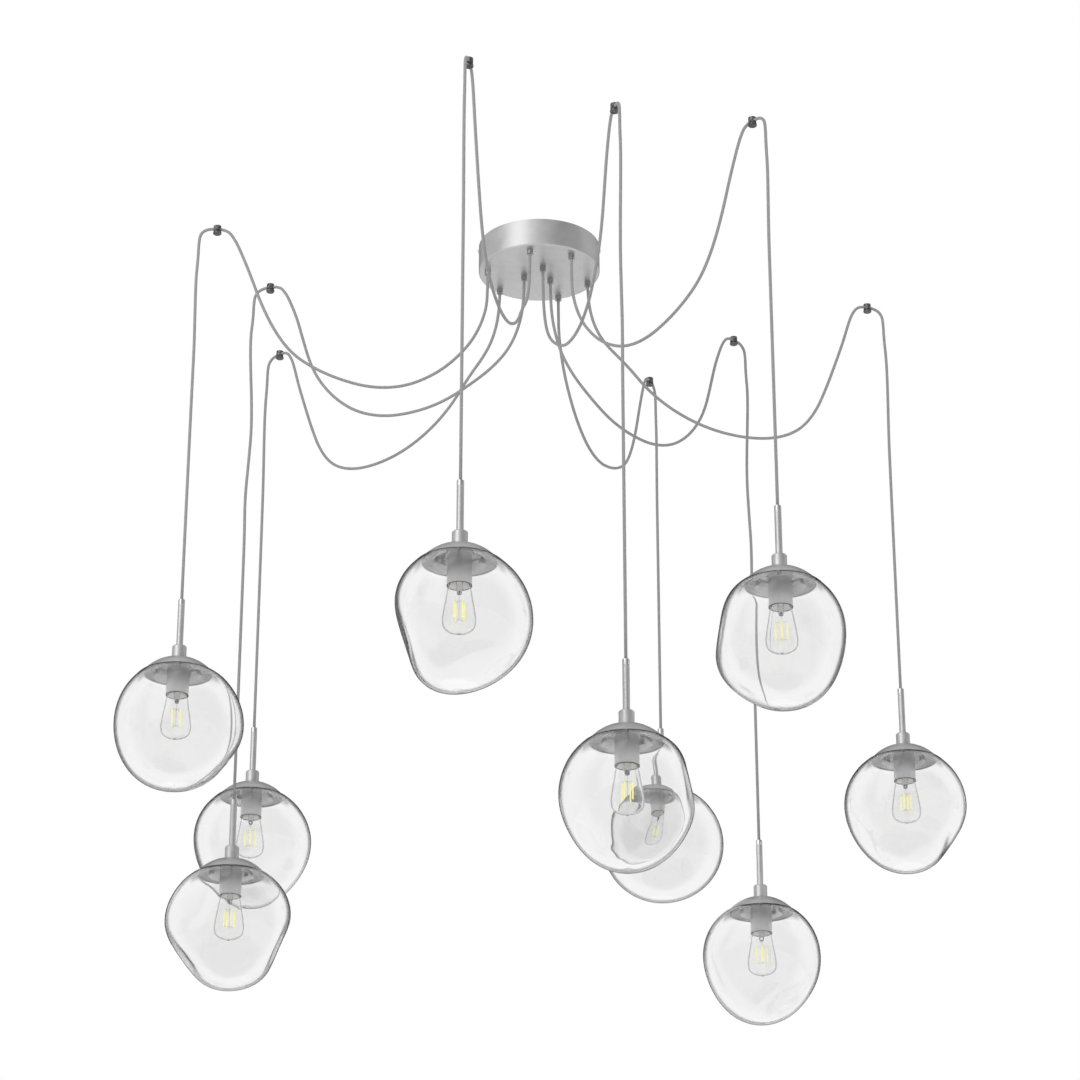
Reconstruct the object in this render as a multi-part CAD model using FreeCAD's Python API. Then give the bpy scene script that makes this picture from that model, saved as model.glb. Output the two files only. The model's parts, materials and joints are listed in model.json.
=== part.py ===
import FreeCAD, Part
import math
import os
from collections import namedtuple

from FreeCAD import Vector

# Cluster pendant: one ceiling canopy feeds nine cords. Every cord sags in a swag to its own
# ceiling hook and then hangs down to a lamp with a domed cap and a blown glass globe.
# Sizes are in millimetres. Z points up, and the origin is on the ceiling, on the canopy's axis.
# A lamp is drawn upright about its own axis, with height 0 at the top of its ferrule and with
# local +X pointing away from the canopy, and then hung in its place.

# ---------------------------------------------------------------- canopy and its bracket
CANOPY_D = 247.0
CANOPY_H = 59.0
CANOPY_SHEET = 1.2
CANOPY_EDGE_R = 4.0

BRACKET_W = 25.0
BRACKET_T = 2.0
BRACKET_TAB_H = 16.0
BRACKET_GAP = 0.2          # between the tabs' corners and the canopy's wall
BOX_SCREW_SPACING = 88.9   # the two tapped lugs of a 4 inch ceiling box
BOX_SCREW_HOLE_D = 5.0

SIDE_SCREW_D = 4.0
SIDE_SCREW_HEAD_D = 7.5
SIDE_SCREW_HEAD_H = 2.2
SIDE_SCREW_DEPTH = 8.0     # below the ceiling
SIDE_SCREW_PLAY = 0.2

BLOCK_D = 40.0
BLOCK_H = 16.0
LEAD_D = 4.0
LEAD_BEND = 0.6            # share of a lead's reach at which it levels out

# ---------------------------------------------------------------- cords and their glands
CORD_D = 6.0
GLAND_D = 12.5
GLAND_LIP_D = 13.6
GLAND_LIP_H = 1.8
GLAND_LIP_BEVEL = 0.54
GLAND_H = 11.5
NIPPLE_D = 10.0
NIPPLE_H = 10.5            # from the canopy's underside up into the canopy
NIPPLE_PLAY = 0.2
LOCKNUT_ACROSS = 14.0
LOCKNUT_T = 3.0
CORD_STUB = 0.6            # the cord above its nipple

# ---------------------------------------------------------------- ceiling hooks
HOOK_D = 15.5
HOOK_WALL = 1.75
HOOK_TOP_T = 2.4
HOOK_CUP_H = 12.0
HOOK_SCREW_D = 4.0
HOOK_BORE_D = 7.5
HOOK_BORE_DEPTH = 6.5      # the bore's axis below the ceiling
PLUG_D = 17.0
PLUG_H = 5.0
PLUG_EDGE_R = 1.0
PLUG_NECK_H = 0.8
PLUG_SPIGOT_H = 1.6
PLUG_PLAY = 0.05

# ---------------------------------------------------------------- hanging point of a drop
DROP_OFFSET = 36.0         # the lamp's axis beyond the hook's
HINGE_DEPTH = 75.0         # where the hanging cord starts to swing

# ---------------------------------------------------------------- ferrule, stem and cap
FERRULE_H = 11.0
FERRULE_EDGE_R = 1.5
FERRULE_SPIGOT_H = 3.0
FERRULE_PLAY = 0.05        # all round the cord
CRIMP_D = 9.4
CRIMP_H = 8.0
CRIMP_GAP = 0.1
STEM_D = 12.7
STEM_WALL = 1.0
STEM_THREAD_SPARE = 1.0    # of thread below the lower nut
COLLAR_D = 27.5
COLLAR_TOP = 95.6          # depth below the ferrule's top
COLLAR_CHAMFER = 2.0
COLLAR_FOOT_SPARE = 1.0    # cut away again by the cap's crown
CAP_D = 132.0
CAP_RISE = 30.0
CAP_SHEET = 1.2
CAP_RIM = 150.5            # depth of the cap's rim
NUT_ACROSS = 17.0
NUT_T = 3.0

# ---------------------------------------------------------------- socket cup and lampholder
SOCKET_D = 43.0
SOCKET_WALL = 1.5
SOCKET_BOTTOM = 196.0
SOCKET_RIM_H = 3.0
SOCKET_RIM_OUT = 0.4
HOLDER_D = 31.0
HOLDER_TOP_T = 4.0
HOLDER_BOTTOM = 178.0
HOLDER_HOLE_D = 6.0
WIRE_D = 2.4
WIRE_APART = 2.8
WIRE_FREE = 6.0            # from the crimp to where the two wires part

# ---------------------------------------------------------------- spring holder of the globe
SPRING_TOP = 134.0
SPRING_HUB_W = 3.0
SPRING_HUB_H = 6.0
SPRING_T = 1.5
SPRING_FINGER_H = 13.0
SPRING_FINGER_W = 11.0
SPRING_FINGERS = 3
SPRING_PLAY = 0.3          # between a finger and the globe's neck

# ---------------------------------------------------------------- bulb
BULB_BASE_D = 26.0
BULB_BASE_PLAY = 0.1
BULB_BASE_TOP = 152.0
BULB_BASE_H = 26.0
BULB_CONTACT_D = 10.0
BULB_CONTACT_H = 2.0
BULB_BASE_SLOPE_H = 2.5
BULB_WALL = 1.0
BULB_MOUNT_D = 6.0
BULB_MOUNT_TIP_D = 3.0
BULB_MOUNT_H = 34.0
FILAMENT_D = 2.0
FILAMENT_H = 33.0
FILAMENT_TOP = 224.0
FILAMENT_CIRCLE_D = 21.0
FILAMENTS = 4
SUPPORT_D = 0.8
# half outline of the bulb's glass, from its base to its tip
BULB_OUTLINE = [
    (12.8, -178.0), (15.0, -186.0), (19.3, -198.0), (23.8, -222.0), (27.8, -245.0),
    (29.0, -260.0), (26.6, -271.0), (19.5, -277.5), (10.0, -280.8), (3.0, -282.0)]
BULB_TIP_D = 3.4
BULB_TIP_END_D = 1.7
BULB_TIP_H = 2.4

# ---------------------------------------------------------------- globe
GLOBE_CENTRE = 263.0       # depth of the globe's centre
GLOBE_WALL = 3.0
NECK_BORE_D = 78.0
NECK_TOP = 136.0
DENT_FADE = (48.0, 62.0)   # elevations between which the dents fade towards the neck
GLOBE_FLAT_D = 16.0
FOOT_ELEVATION = -90.0     # straight down from the centre
GLOBE_POINTS = 24          # round each section
GLOBE_BANDS = (48.0, 36.0, 24.0, 12.0, 0.0, -12.0, -24.0, -36.0, -48.0, -60.0, -71.0, -80.0)
# the shoulder, as distances out from the neck's outer wall and below its top
SHOULDER = [(0.0, 0.0), (0.3, 6.0), (2.0, 9.5), (6.0, 11.6), (14.0, 13.6), (24.0, 15.3)]

# ---------------------------------------------------------------- rings of glands
OUTER_GLANDS_IN = 17.8     # from the canopy's outer wall to the outer glands' axes
OUTER_GLANDS_R = CANOPY_D / 2 - OUTER_GLANDS_IN
INNER_GLANDS_R = 31.7

# A dent of a globe: the bearing of its middle from local +X, its elevation, its depth and
# the angle at which it has faded to about a third.
Dent = namedtuple("Dent", "bearing elevation depth spread")

# The route of a swag: distance from the canopy's axis and height, from the gland to the hook.
# The gland's end and the turn over the hook are added from the sizes above.
Kind = namedtuple("Kind", "turn hook_radius gland_radius lamp_top globe_r crown route wave dents")

FAR = Kind(
    turn=-24.0, hook_radius=741.0, gland_radius=OUTER_GLANDS_R, lamp_top=864.5, globe_r=130.0, crown=1.4,
    route=[(116, -150), (140, -193), (190, -235), (240, -289), (303, -328), (376, -352),
           (452, -358), (520, -348), (573, -321), (610, -275), (637, -215), (660, -155),
           (681, -98), (694, -56)],
    wave=[(3.5, -125), (3, -200), (1, -280), (0, -360)],
    dents=[Dent(330, -35, 17, 24), Dent(295, -10, 18, 41), Dent(270, -18, 22, 32),
           Dent(40, -23, 20, 51), Dent(170, -31, 22, 38)])

NEAR = Kind(
    turn=0.0, hook_radius=586.0, gland_radius=INNER_GLANDS_R, lamp_top=1131.0, globe_r=126.0, crown=6.7,
    route=[(37, -155), (58, -214), (94, -256), (146, -292), (203, -323), (263, -338),
           (326, -340), (384, -323), (431, -289), (467, -246), (491, -200), (508, -145),
           (523, -92), (538, -53)],
    wave=[(4.5, -120), (1.5, -190), (-3.5, -262), (-6, -335), (-2, -410), (2.5, -485), (0.5, -560),
          (0, -630)],
    dents=[Dent(6, -32, 20, 27), Dent(206, -18, 22, 28), Dent(106, -12, 19, 37),
           Dent(286, -16, 19, 42), Dent(66, 17, 14, 20)])

MIDDLE = Kind(
    turn=24.0, hook_radius=657.0, gland_radius=OUTER_GLANDS_R, lamp_top=816.0, globe_r=129.5, crown=3.3,
    route=[(108, -152), (131, -214), (168, -264), (213, -304), (272, -334), (336, -341),
           (398, -328), (455, -305), (501, -274), (537, -224), (565, -165), (586, -108),
           (606, -59)],
    wave=[(2.5, -125), (1, -200), (-0.5, -280), (0, -360)],
    dents=[Dent(232, 12, 17, 28), Dent(187, -33, 9, 20), Dent(217, -68, 7, 47),
           Dent(17, -14, 16, 52), Dent(62, -11, 9, 41)])

GROUP_BEARINGS = (-76.0, 44.0, 164.0)
LAMPS = [(kind, bearing + kind.turn) for bearing in GROUP_BEARINGS for kind in (FAR, NEAR, MIDDLE)]

# The route's points near its gland and its hook, as offsets that every cord shares.
GLAND_RUN = 36.0           # the cord's first bend below the canopy
HOOK_APPROACH = [(-36.0, -20.5), (-20.0, 0.0)]    # from the hook's axis and the bore's height
HOOK_DEPARTURE = [(17.0, 0.0), (33.0, -11.5)]
DROP_START = 33.0          # length of the upright run above the hinge

ARC_SHARE = 0.45           # of the shorter run, taken by an arc on each side of a corner
UP = Vector(0, 0, 1)
ORIGIN = Vector(0, 0, 0)


# ================================================================ shared shapes
def unit(vector):
    return vector * (1.0 / vector.Length)


def ring(outer_d, inner_d, top, height):
    """An upright tube whose top is at the given height."""
    bottom = Vector(0, 0, top - height)
    outer = Part.makeCylinder(outer_d / 2, height, bottom)
    if inner_d == 0:
        return outer
    return outer.cut(Part.makeCylinder(inner_d / 2, height, bottom))


def turned(edges):
    """The solid that a closed half outline in the XZ plane sweeps about the Z axis."""
    face = Part.Face(Part.Wire(Part.__sortEdges__(edges)))
    return face.revolve(ORIGIN, UP, 360)


def chain(points):
    """Straight edges through points given as (radius, height)."""
    corners = [Vector(r, 0, z) for r, z in points]
    return [Part.makeLine(a, b) for a, b in zip(corners, corners[1:])]


def turned_outline(points):
    return turned(chain(points + points[:1]))


def hexagon(across, bore_d, top, height):
    corner = across / math.sqrt(3)
    corners = [Vector(corner * math.cos(math.radians(60 * k)), corner * math.sin(math.radians(60 * k)),
                      top - height) for k in range(7)]
    prism = Part.Face(Part.makePolygon(corners)).extrude(UP * height)
    return prism.cut(Part.makeCylinder(bore_d / 2, height, Vector(0, 0, top - height)))


def moved(shape, bearing, radius, height):
    """A copy turned about Z so that local +X has this bearing, and moved out along it."""
    copy = shape.copy()
    copy.translate(Vector(radius, 0, height))
    copy.rotate(ORIGIN, UP, bearing)
    return copy


def rounded_path(points):
    """Straight runs joined by tangent arcs that are as large as their two runs allow."""
    edges = []
    radii = []
    start = points[0]
    for before, corner, after in zip(points, points[1:], points[2:]):
        run_in = corner - before
        run_out = after - corner
        turn = run_in.getAngle(run_out)
        reach = ARC_SHARE * min(run_in.Length, run_out.Length)
        radius = reach / math.tan(turn / 2)
        arc_start = corner - unit(run_in) * reach
        arc_end = corner + unit(run_out) * reach
        inward = unit(unit(run_out) - unit(run_in))
        arc_middle = corner + inward * (radius / math.cos(turn / 2) - radius)
        edges.append(Part.makeLine(start, arc_start))
        edges.append(Part.Arc(arc_start, arc_middle, arc_end).toShape())
        radii.append(radius)
        start = arc_end
    edges.append(Part.makeLine(start, points[-1]))
    return edges, radii


def tube(points, diameter, label):
    """A round tube along points given as (radius, height), with a printed check of its volume."""
    path, radii = rounded_path([Vector(r, 0, z) for r, z in points])
    direction = path[0].tangentAt(path[0].FirstParameter)
    section = Part.Wire(Part.makeCircle(diameter / 2, path[0].valueAt(path[0].FirstParameter), direction))
    solid = Part.Wire(path).makePipeShell([section], True, False)
    length = sum(edge.Length for edge in path)
    share = solid.Volume / (math.pi * diameter ** 2 / 4 * length)
    smallest = min(radii) if radii else float("inf")
    print(f"{label}: length {length:.0f}, smallest radius {smallest:.0f}, volume share {share:.4f}")
    return Part.Solid(solid)


def save(name, solids):
    """Write one node. Pieces that repeat stay separate solids of the node."""
    shape = solids[0] if len(solids) == 1 else Part.makeCompound(solids)
    for number, solid in enumerate(solids):
        if len(solid.Solids) != 1 or not solid.isValid():
            print(f"{name}: piece {number} has {len(solid.Solids)} solids, valid {solid.isValid()}")
    shape.exportStep(f"parts/{name}.step")


# ================================================================ canopy
def gland_places():
    return [(bearing, kind.gland_radius) for kind, bearing in LAMPS]


def canopy_cover():
    outer = Part.makeCylinder(CANOPY_D / 2, CANOPY_H, Vector(0, 0, -CANOPY_H))
    lower_edge = [edge for edge in outer.Edges if edge.BoundBox.ZMax < -CANOPY_H / 2]
    outer = outer.makeFillet(CANOPY_EDGE_R, lower_edge)
    inner_r = CANOPY_D / 2 - CANOPY_SHEET
    inner = Part.makeCylinder(inner_r, CANOPY_H - CANOPY_SHEET, Vector(0, 0, CANOPY_SHEET - CANOPY_H))
    lower_edge = [edge for edge in inner.Edges if edge.BoundBox.ZMax < -CANOPY_H / 2]
    inner = inner.makeFillet(CANOPY_EDGE_R - CANOPY_SHEET, lower_edge)
    cover = outer.cut(inner)
    for bearing, radius in gland_places():
        hole = Part.makeCylinder(NIPPLE_D / 2 + NIPPLE_PLAY, 2 * CANOPY_SHEET)
        cover = cover.cut(moved(hole, bearing, radius, -CANOPY_H - CANOPY_SHEET / 2))
    screw_path = Part.makeCylinder(SIDE_SCREW_D / 2 + SIDE_SCREW_PLAY, CANOPY_D,
                                   Vector(-CANOPY_D / 2, 0, -SIDE_SCREW_DEPTH), Vector(1, 0, 0))
    return cover.cut(screw_path)


def tab_face():
    """Distance from the axis to the outer face of a bracket tab, whose corners clear the wall."""
    inner_r = CANOPY_D / 2 - CANOPY_SHEET
    return math.sqrt(inner_r ** 2 - (BRACKET_W / 2) ** 2) - BRACKET_GAP


def ceiling_bracket():
    reach = tab_face()
    bar = Part.makeBox(2 * reach, BRACKET_W, BRACKET_TAB_H, Vector(-reach, -BRACKET_W / 2, -BRACKET_TAB_H))
    hollow = Part.makeBox(2 * (reach - BRACKET_T), BRACKET_W, BRACKET_TAB_H,
                          Vector(BRACKET_T - reach, -BRACKET_W / 2, -BRACKET_TAB_H - BRACKET_T))
    bracket = bar.cut(hollow)
    for side in (-1, 1):
        hole = Part.makeCylinder(BOX_SCREW_HOLE_D / 2, BRACKET_T,
                                 Vector(side * BOX_SCREW_SPACING / 2, 0, -BRACKET_T))
        bracket = bracket.cut(hole)
    tapped = Part.makeCylinder(SIDE_SCREW_D / 2, 2 * reach,
                               Vector(-reach, 0, -SIDE_SCREW_DEPTH), Vector(1, 0, 0))
    return bracket.cut(tapped)


def side_screw():
    """A dome-headed screw that lies along +X, its head against the canopy's wall."""
    wall = CANOPY_D / 2
    shank_from = tab_face() - BRACKET_T
    shank = Part.makeCylinder(SIDE_SCREW_D / 2, wall - shank_from, Vector(shank_from, 0, 0), Vector(1, 0, 0))
    head = Part.makeCylinder(SIDE_SCREW_HEAD_D / 2, SIDE_SCREW_HEAD_H, Vector(wall, 0, 0), Vector(1, 0, 0))
    face_edge = [edge for edge in head.Edges if edge.BoundBox.XMin > wall + SIDE_SCREW_HEAD_H / 2]
    head = head.makeFillet(SIDE_SCREW_HEAD_H / 2, face_edge)
    return shank.fuse(head).removeSplitter()


def cord_gland():
    """The chrome grip below the canopy and its threaded nipple, about the cord."""
    grip_r = GLAND_D / 2
    lip_r = GLAND_LIP_D / 2
    bore_r = CORD_D / 2
    nipple_r = NIPPLE_D / 2
    bottom = -CANOPY_H - GLAND_H
    return turned_outline([
        (bore_r, NIPPLE_H - CANOPY_H), (nipple_r, NIPPLE_H - CANOPY_H), (nipple_r, -CANOPY_H),
        (grip_r, -CANOPY_H), (grip_r, bottom + GLAND_LIP_H),
        (lip_r, bottom + GLAND_LIP_H - GLAND_LIP_BEVEL), (lip_r, bottom + GLAND_LIP_BEVEL),
        (grip_r, bottom), (bore_r, bottom)])


def gland_nut():
    return hexagon(LOCKNUT_ACROSS, NIPPLE_D, CANOPY_SHEET + LOCKNUT_T - CANOPY_H, LOCKNUT_T)


def cord_start():
    """Height of a cord's upper end, just above its gland's nipple."""
    return NIPPLE_H + CORD_STUB - CANOPY_H


def inner_lead(gland_radius, number):
    """The sheathed lead from a cord's end to the side of the wiring block."""
    block_r = BLOCK_D / 2
    entry = -BRACKET_T - BLOCK_H / 2
    knee = (entry + cord_start()) / 2
    points = [(gland_radius, cord_start()), (gland_radius, knee),
              (block_r + LEAD_BEND * (gland_radius - block_r), entry), (block_r, entry)]
    return tube(points, LEAD_D, f"inner lead {number}")


# ================================================================ ceiling hooks
def hook_cup():
    """The hook's fixed upper half, screwed to the ceiling, with the cross bore for the cord."""
    outer_r = HOOK_D / 2
    inner_r = outer_r - HOOK_WALL
    cup = turned_outline([
        (HOOK_SCREW_D / 2, 0), (outer_r, 0), (outer_r, -HOOK_CUP_H), (inner_r, -HOOK_CUP_H),
        (inner_r, -HOOK_TOP_T), (HOOK_SCREW_D / 2, -HOOK_TOP_T)])
    bore = Part.makeCylinder(HOOK_BORE_D / 2, HOOK_D, Vector(-outer_r, 0, -HOOK_BORE_DEPTH), Vector(1, 0, 0))
    return cup.cut(bore)


def hook_plug():
    """The screw-in lower half, whose spigot locks the cord in the bore."""
    spigot_r = HOOK_D / 2 - HOOK_WALL - PLUG_PLAY
    neck_r = HOOK_D / 2 - HOOK_WALL / 2
    plug_r = PLUG_D / 2
    neck = -HOOK_CUP_H
    shoulder = neck - PLUG_NECK_H
    bottom = shoulder - PLUG_H
    return turned_outline([
        (0, neck + PLUG_SPIGOT_H), (spigot_r, neck + PLUG_SPIGOT_H), (spigot_r, neck), (neck_r, neck),
        (neck_r, shoulder), (plug_r - PLUG_EDGE_R, shoulder), (plug_r, shoulder - PLUG_EDGE_R),
        (plug_r, bottom + PLUG_EDGE_R), (plug_r - PLUG_EDGE_R, bottom), (0, bottom)])


# ================================================================ cords
def swag_route(kind):
    bore = -HOOK_BORE_DEPTH
    lamp_axis = kind.hook_radius + DROP_OFFSET
    end = CORD_D / 2 - HINGE_DEPTH
    points = [(kind.gland_radius, cord_start()), (kind.gland_radius, -CANOPY_H - GLAND_RUN)]
    points += kind.route
    points += [(kind.hook_radius + x, bore + z) for x, z in HOOK_APPROACH + HOOK_DEPARTURE]
    points += [(lamp_axis, end + DROP_START), (lamp_axis, end)]
    return points


def drop_cord(kind, number):
    """The hanging cord, from its rounded upper end at the hinge to the crimp in the stem."""
    lamp_axis = kind.hook_radius + DROP_OFFSET
    crimp_top = -FERRULE_H - FERRULE_SPIGOT_H - CRIMP_GAP
    end = crimp_top - CRIMP_H - kind.lamp_top
    points = [(lamp_axis, -HINGE_DEPTH)] + [(lamp_axis + x, z) for x, z in kind.wave] + [(lamp_axis, end)]
    cord = tube(points, CORD_D, f"drop cord {number}")
    cord = cord.fuse(Part.makeSphere(CORD_D / 2, Vector(lamp_axis, 0, -HINGE_DEPTH))).removeSplitter()
    crimp = ring(CRIMP_D, CORD_D, crimp_top, CRIMP_H)
    crimp.translate(Vector(lamp_axis, 0, -kind.lamp_top))
    return [Part.Solid(cord.Solids[0]), crimp]


# ================================================================ fitting of a lamp
def cap_sphere():
    """Outer radius of the cap's sphere and the depth of its centre."""
    radius = (CAP_D ** 2 / 4 + CAP_RISE ** 2) / (2 * CAP_RISE)
    return radius, CAP_RIM - CAP_RISE + radius


def cap_height(across, inset):
    """Height of the cap's skin, this far in from its outer face, at a diameter."""
    radius, depth = cap_sphere()
    return math.sqrt((radius - inset) ** 2 - across ** 2 / 4) - depth


def nut_top():
    """Height at which the cap's lock nut meets the underside of the cap with its corners."""
    return cap_height(2 * NUT_ACROSS / math.sqrt(3), CAP_SHEET)


def socket_top():
    return nut_top() - NUT_T


def stem_end():
    return socket_top() - SOCKET_WALL - NUT_T - STEM_THREAD_SPARE


def ferrule():
    bore_r = CORD_D / 2 + FERRULE_PLAY
    outer_r = STEM_D / 2
    spigot_r = outer_r - STEM_WALL
    body = turned_outline([
        (bore_r, 0), (outer_r, 0), (outer_r, -FERRULE_H), (spigot_r, -FERRULE_H),
        (spigot_r, -FERRULE_H - FERRULE_SPIGOT_H), (bore_r, -FERRULE_H - FERRULE_SPIGOT_H)])
    top_edge = [edge for edge in body.Edges
                if edge.BoundBox.ZMin > -FERRULE_H / 2 and edge.BoundBox.XMax > outer_r - 0.1]
    return body.makeFillet(FERRULE_EDGE_R, top_edge[:1])


def stem():
    return ring(STEM_D, STEM_D - 2 * STEM_WALL, -FERRULE_H, -FERRULE_H - stem_end())


def collar():
    """The collar round the stem, its foot hollowed to the cap's crown."""
    radius, depth = cap_sphere()
    outer_r = COLLAR_D / 2
    foot = cap_height(COLLAR_D, 0) - COLLAR_FOOT_SPARE
    blank = turned_outline([
        (STEM_D / 2, -COLLAR_TOP), (outer_r - COLLAR_CHAMFER, -COLLAR_TOP),
        (outer_r, -COLLAR_TOP - COLLAR_CHAMFER), (outer_r, foot), (STEM_D / 2, foot)])
    return blank.cut(Part.makeSphere(radius, Vector(0, 0, -depth)))


def cap():
    """The domed cap, one even sheet between two spheres, with the stem's hole at its crown."""
    radius, depth = cap_sphere()
    inner_r = radius - CAP_SHEET
    hole_r = STEM_D / 2
    rim_inner = math.sqrt(inner_r ** 2 - (depth - CAP_RIM) ** 2)
    half = (CAP_D + STEM_D) / 4

    def skin(inset, far_r):
        ends = [Vector(hole_r, 0, cap_height(STEM_D, inset)),
                Vector(half, 0, cap_height(2 * half, inset)),
                Vector(far_r, 0, -CAP_RIM)]
        return Part.Arc(*ends).toShape()

    outer = skin(0, CAP_D / 2)
    inner = skin(CAP_SHEET, rim_inner)
    crown = chain([(hole_r, cap_height(STEM_D, 0)), (hole_r, cap_height(STEM_D, CAP_SHEET))])
    rim = chain([(CAP_D / 2, -CAP_RIM), (rim_inner, -CAP_RIM)])
    return turned([outer, inner] + crown + rim)


def spring_holder():
    """The hub on the socket cup and its three fingers, which grip the globe's neck from inside."""
    reach_d = NECK_BORE_D - 2 * SPRING_PLAY
    plate = ring(reach_d, SOCKET_D, -SPRING_TOP, SPRING_T)
    fingers = ring(reach_d, reach_d - 2 * SPRING_T, -SPRING_TOP, SPRING_FINGER_H)
    blank = plate.fuse(fingers)
    arms = []
    for number in range(SPRING_FINGERS):
        arm = Part.makeBox(reach_d, SPRING_FINGER_W, SPRING_FINGER_H,
                           Vector(0, -SPRING_FINGER_W / 2, -SPRING_TOP - SPRING_FINGER_H))
        arm.rotate(ORIGIN, UP, 360 / SPRING_FINGERS * number)
        arms.append(blank.common(arm))
    hub = ring(SOCKET_D + 2 * SPRING_HUB_W, SOCKET_D, -SPRING_TOP, SPRING_HUB_H)
    return hub.fuse(arms).removeSplitter()


def fitting():
    cap_nut = hexagon(NUT_ACROSS, STEM_D, nut_top(), NUT_T)
    return [ferrule(), stem(), collar(), cap(), cap_nut, spring_holder()]


# ================================================================ socket
def socket_cup():
    outer_r = SOCKET_D / 2
    inner_r = outer_r - SOCKET_WALL
    top = socket_top()
    return turned_outline([
        (STEM_D / 2, top), (outer_r, top), (outer_r, SOCKET_RIM_H - SOCKET_BOTTOM),
        (outer_r + SOCKET_RIM_OUT, SOCKET_RIM_H - SOCKET_BOTTOM),
        (outer_r + SOCKET_RIM_OUT, -SOCKET_BOTTOM), (inner_r, -SOCKET_BOTTOM),
        (inner_r, top - SOCKET_WALL), (STEM_D / 2, top - SOCKET_WALL)])


def lampholder():
    """The dark insert that the bulb screws into, carried by the stem's end."""
    top = stem_end()
    bore_r = BULB_BASE_D / 2 + BULB_BASE_PLAY
    return turned_outline([
        (HOLDER_HOLE_D / 2, top), (HOLDER_D / 2, top), (HOLDER_D / 2, -HOLDER_BOTTOM),
        (bore_r, -HOLDER_BOTTOM), (bore_r, top - HOLDER_TOP_T), (HOLDER_HOLE_D / 2, top - HOLDER_TOP_T)])


def socket():
    top = socket_top()
    nut = hexagon(NUT_ACROSS, STEM_D, top - SOCKET_WALL, NUT_T)
    wire_top = -FERRULE_H - FERRULE_SPIGOT_H - CRIMP_GAP - CRIMP_H - WIRE_FREE
    wire_length = wire_top - stem_end() + HOLDER_TOP_T
    wires = []
    for side in (-1, 1):
        wire = ring(WIRE_D, 0, wire_top, wire_length)
        wire.translate(Vector(side * WIRE_APART / 2, 0, 0))
        wires.append(wire)
    return [socket_cup(), lampholder(), nut] + wires


# ================================================================ bulb
def inset_outline(points, inset):
    """An outline moved inwards, square to its own run at each point."""
    moved_points = []
    for number, (r, z) in enumerate(points):
        before = points[max(number - 1, 0)]
        after = points[min(number + 1, len(points) - 1)]
        run_r = after[0] - before[0]
        run_z = after[1] - before[1]
        length = math.hypot(run_r, run_z)
        moved_points.append((r + inset * run_z / length, z - inset * run_r / length))
    return moved_points


def bulb_body(points):
    """The solid inside a bulb outline, closed at the base and rounded to the axis at its tip."""
    bottom = (0, points[-1][1])
    curve = Part.BSplineCurve()
    curve.interpolate([Vector(r, 0, z) for r, z in points])
    return turned([curve.toShape()] + chain([points[-1], bottom, (0, points[0][1]), points[0]]))


def bulb_envelope():
    outer = bulb_body(BULB_OUTLINE)
    inner_points = inset_outline(BULB_OUTLINE, BULB_WALL)
    inner_points[0] = (BULB_OUTLINE[0][0] - BULB_WALL, BULB_OUTLINE[0][1])
    tip = Part.makeCone(BULB_TIP_D / 2, BULB_TIP_END_D / 2, BULB_TIP_H,
                        Vector(0, 0, BULB_OUTLINE[-1][1]), Vector(0, 0, -1))
    return outer.fuse(tip).cut(bulb_body(inner_points)).removeSplitter()


def bulb_base():
    radius = BULB_BASE_D / 2
    bottom = -BULB_BASE_TOP - BULB_BASE_H
    return turned_outline([
        (0, BULB_CONTACT_H - BULB_BASE_TOP), (BULB_CONTACT_D / 2, BULB_CONTACT_H - BULB_BASE_TOP),
        (BULB_CONTACT_D / 2, -BULB_BASE_TOP), (radius, -BULB_BASE_TOP - BULB_BASE_SLOPE_H),
        (radius, bottom), (0, bottom)])


def filament_mount():
    """The glass stem, its centre rod and two wire crosses, with the upright filaments between."""
    base = -BULB_BASE_TOP - BULB_BASE_H
    mount = Part.makeCone(BULB_MOUNT_D / 2, BULB_MOUNT_TIP_D / 2, BULB_MOUNT_H, Vector(0, 0, base), -UP)
    bottom = -FILAMENT_TOP - FILAMENT_H
    rod_top = base - BULB_MOUNT_H / 2
    pieces = [Part.makeCylinder(SUPPORT_D / 2, rod_top - bottom, Vector(0, 0, bottom))]
    for number in range(FILAMENTS):
        bearing = 360 / FILAMENTS * (number + 0.5)
        filament = Part.makeCylinder(FILAMENT_D / 2, FILAMENT_H, Vector(0, 0, bottom))
        pieces.append(moved(filament, bearing, FILAMENT_CIRCLE_D / 2, 0))
        for height in (bottom, -FILAMENT_TOP):
            arm = Part.makeCylinder(SUPPORT_D / 2, FILAMENT_CIRCLE_D / 2, ORIGIN, Vector(1, 0, 0))
            pieces.append(moved(arm, bearing, 0, height))
    return mount.fuse(pieces).removeSplitter()


# ================================================================ globe
def dent_fade(elevation):
    low, high = DENT_FADE
    share = min(max((elevation - low) / (high - low), 0), 1)
    return 1 - share * share * (3 - 2 * share)


def globe_radius(kind, bearing, elevation):
    """Distance of the globe's outer face from its centre in one direction."""
    tilt = math.radians(elevation)
    radius = kind.globe_r + kind.crown * math.sin(tilt)
    for dent in kind.dents:
        dent_tilt = math.radians(dent.elevation)
        swing = math.radians(bearing - dent.bearing)
        nearness = math.sin(tilt) * math.sin(dent_tilt) + math.cos(tilt) * math.cos(dent_tilt) * math.cos(swing)
        away = math.degrees(math.acos(min(max(nearness, -1), 1)))
        radius -= dent_fade(elevation) * dent.depth * math.exp(-(away / dent.spread) ** 2)
    return radius


def closed_curve(points):
    curve = Part.BSplineCurve()
    steps = [number / len(points) for number in range(len(points) + 1)]
    curve.interpolate(Points=points, Parameters=steps, PeriodicFlag=True)
    return Part.Wire(curve.toShape())


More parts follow.
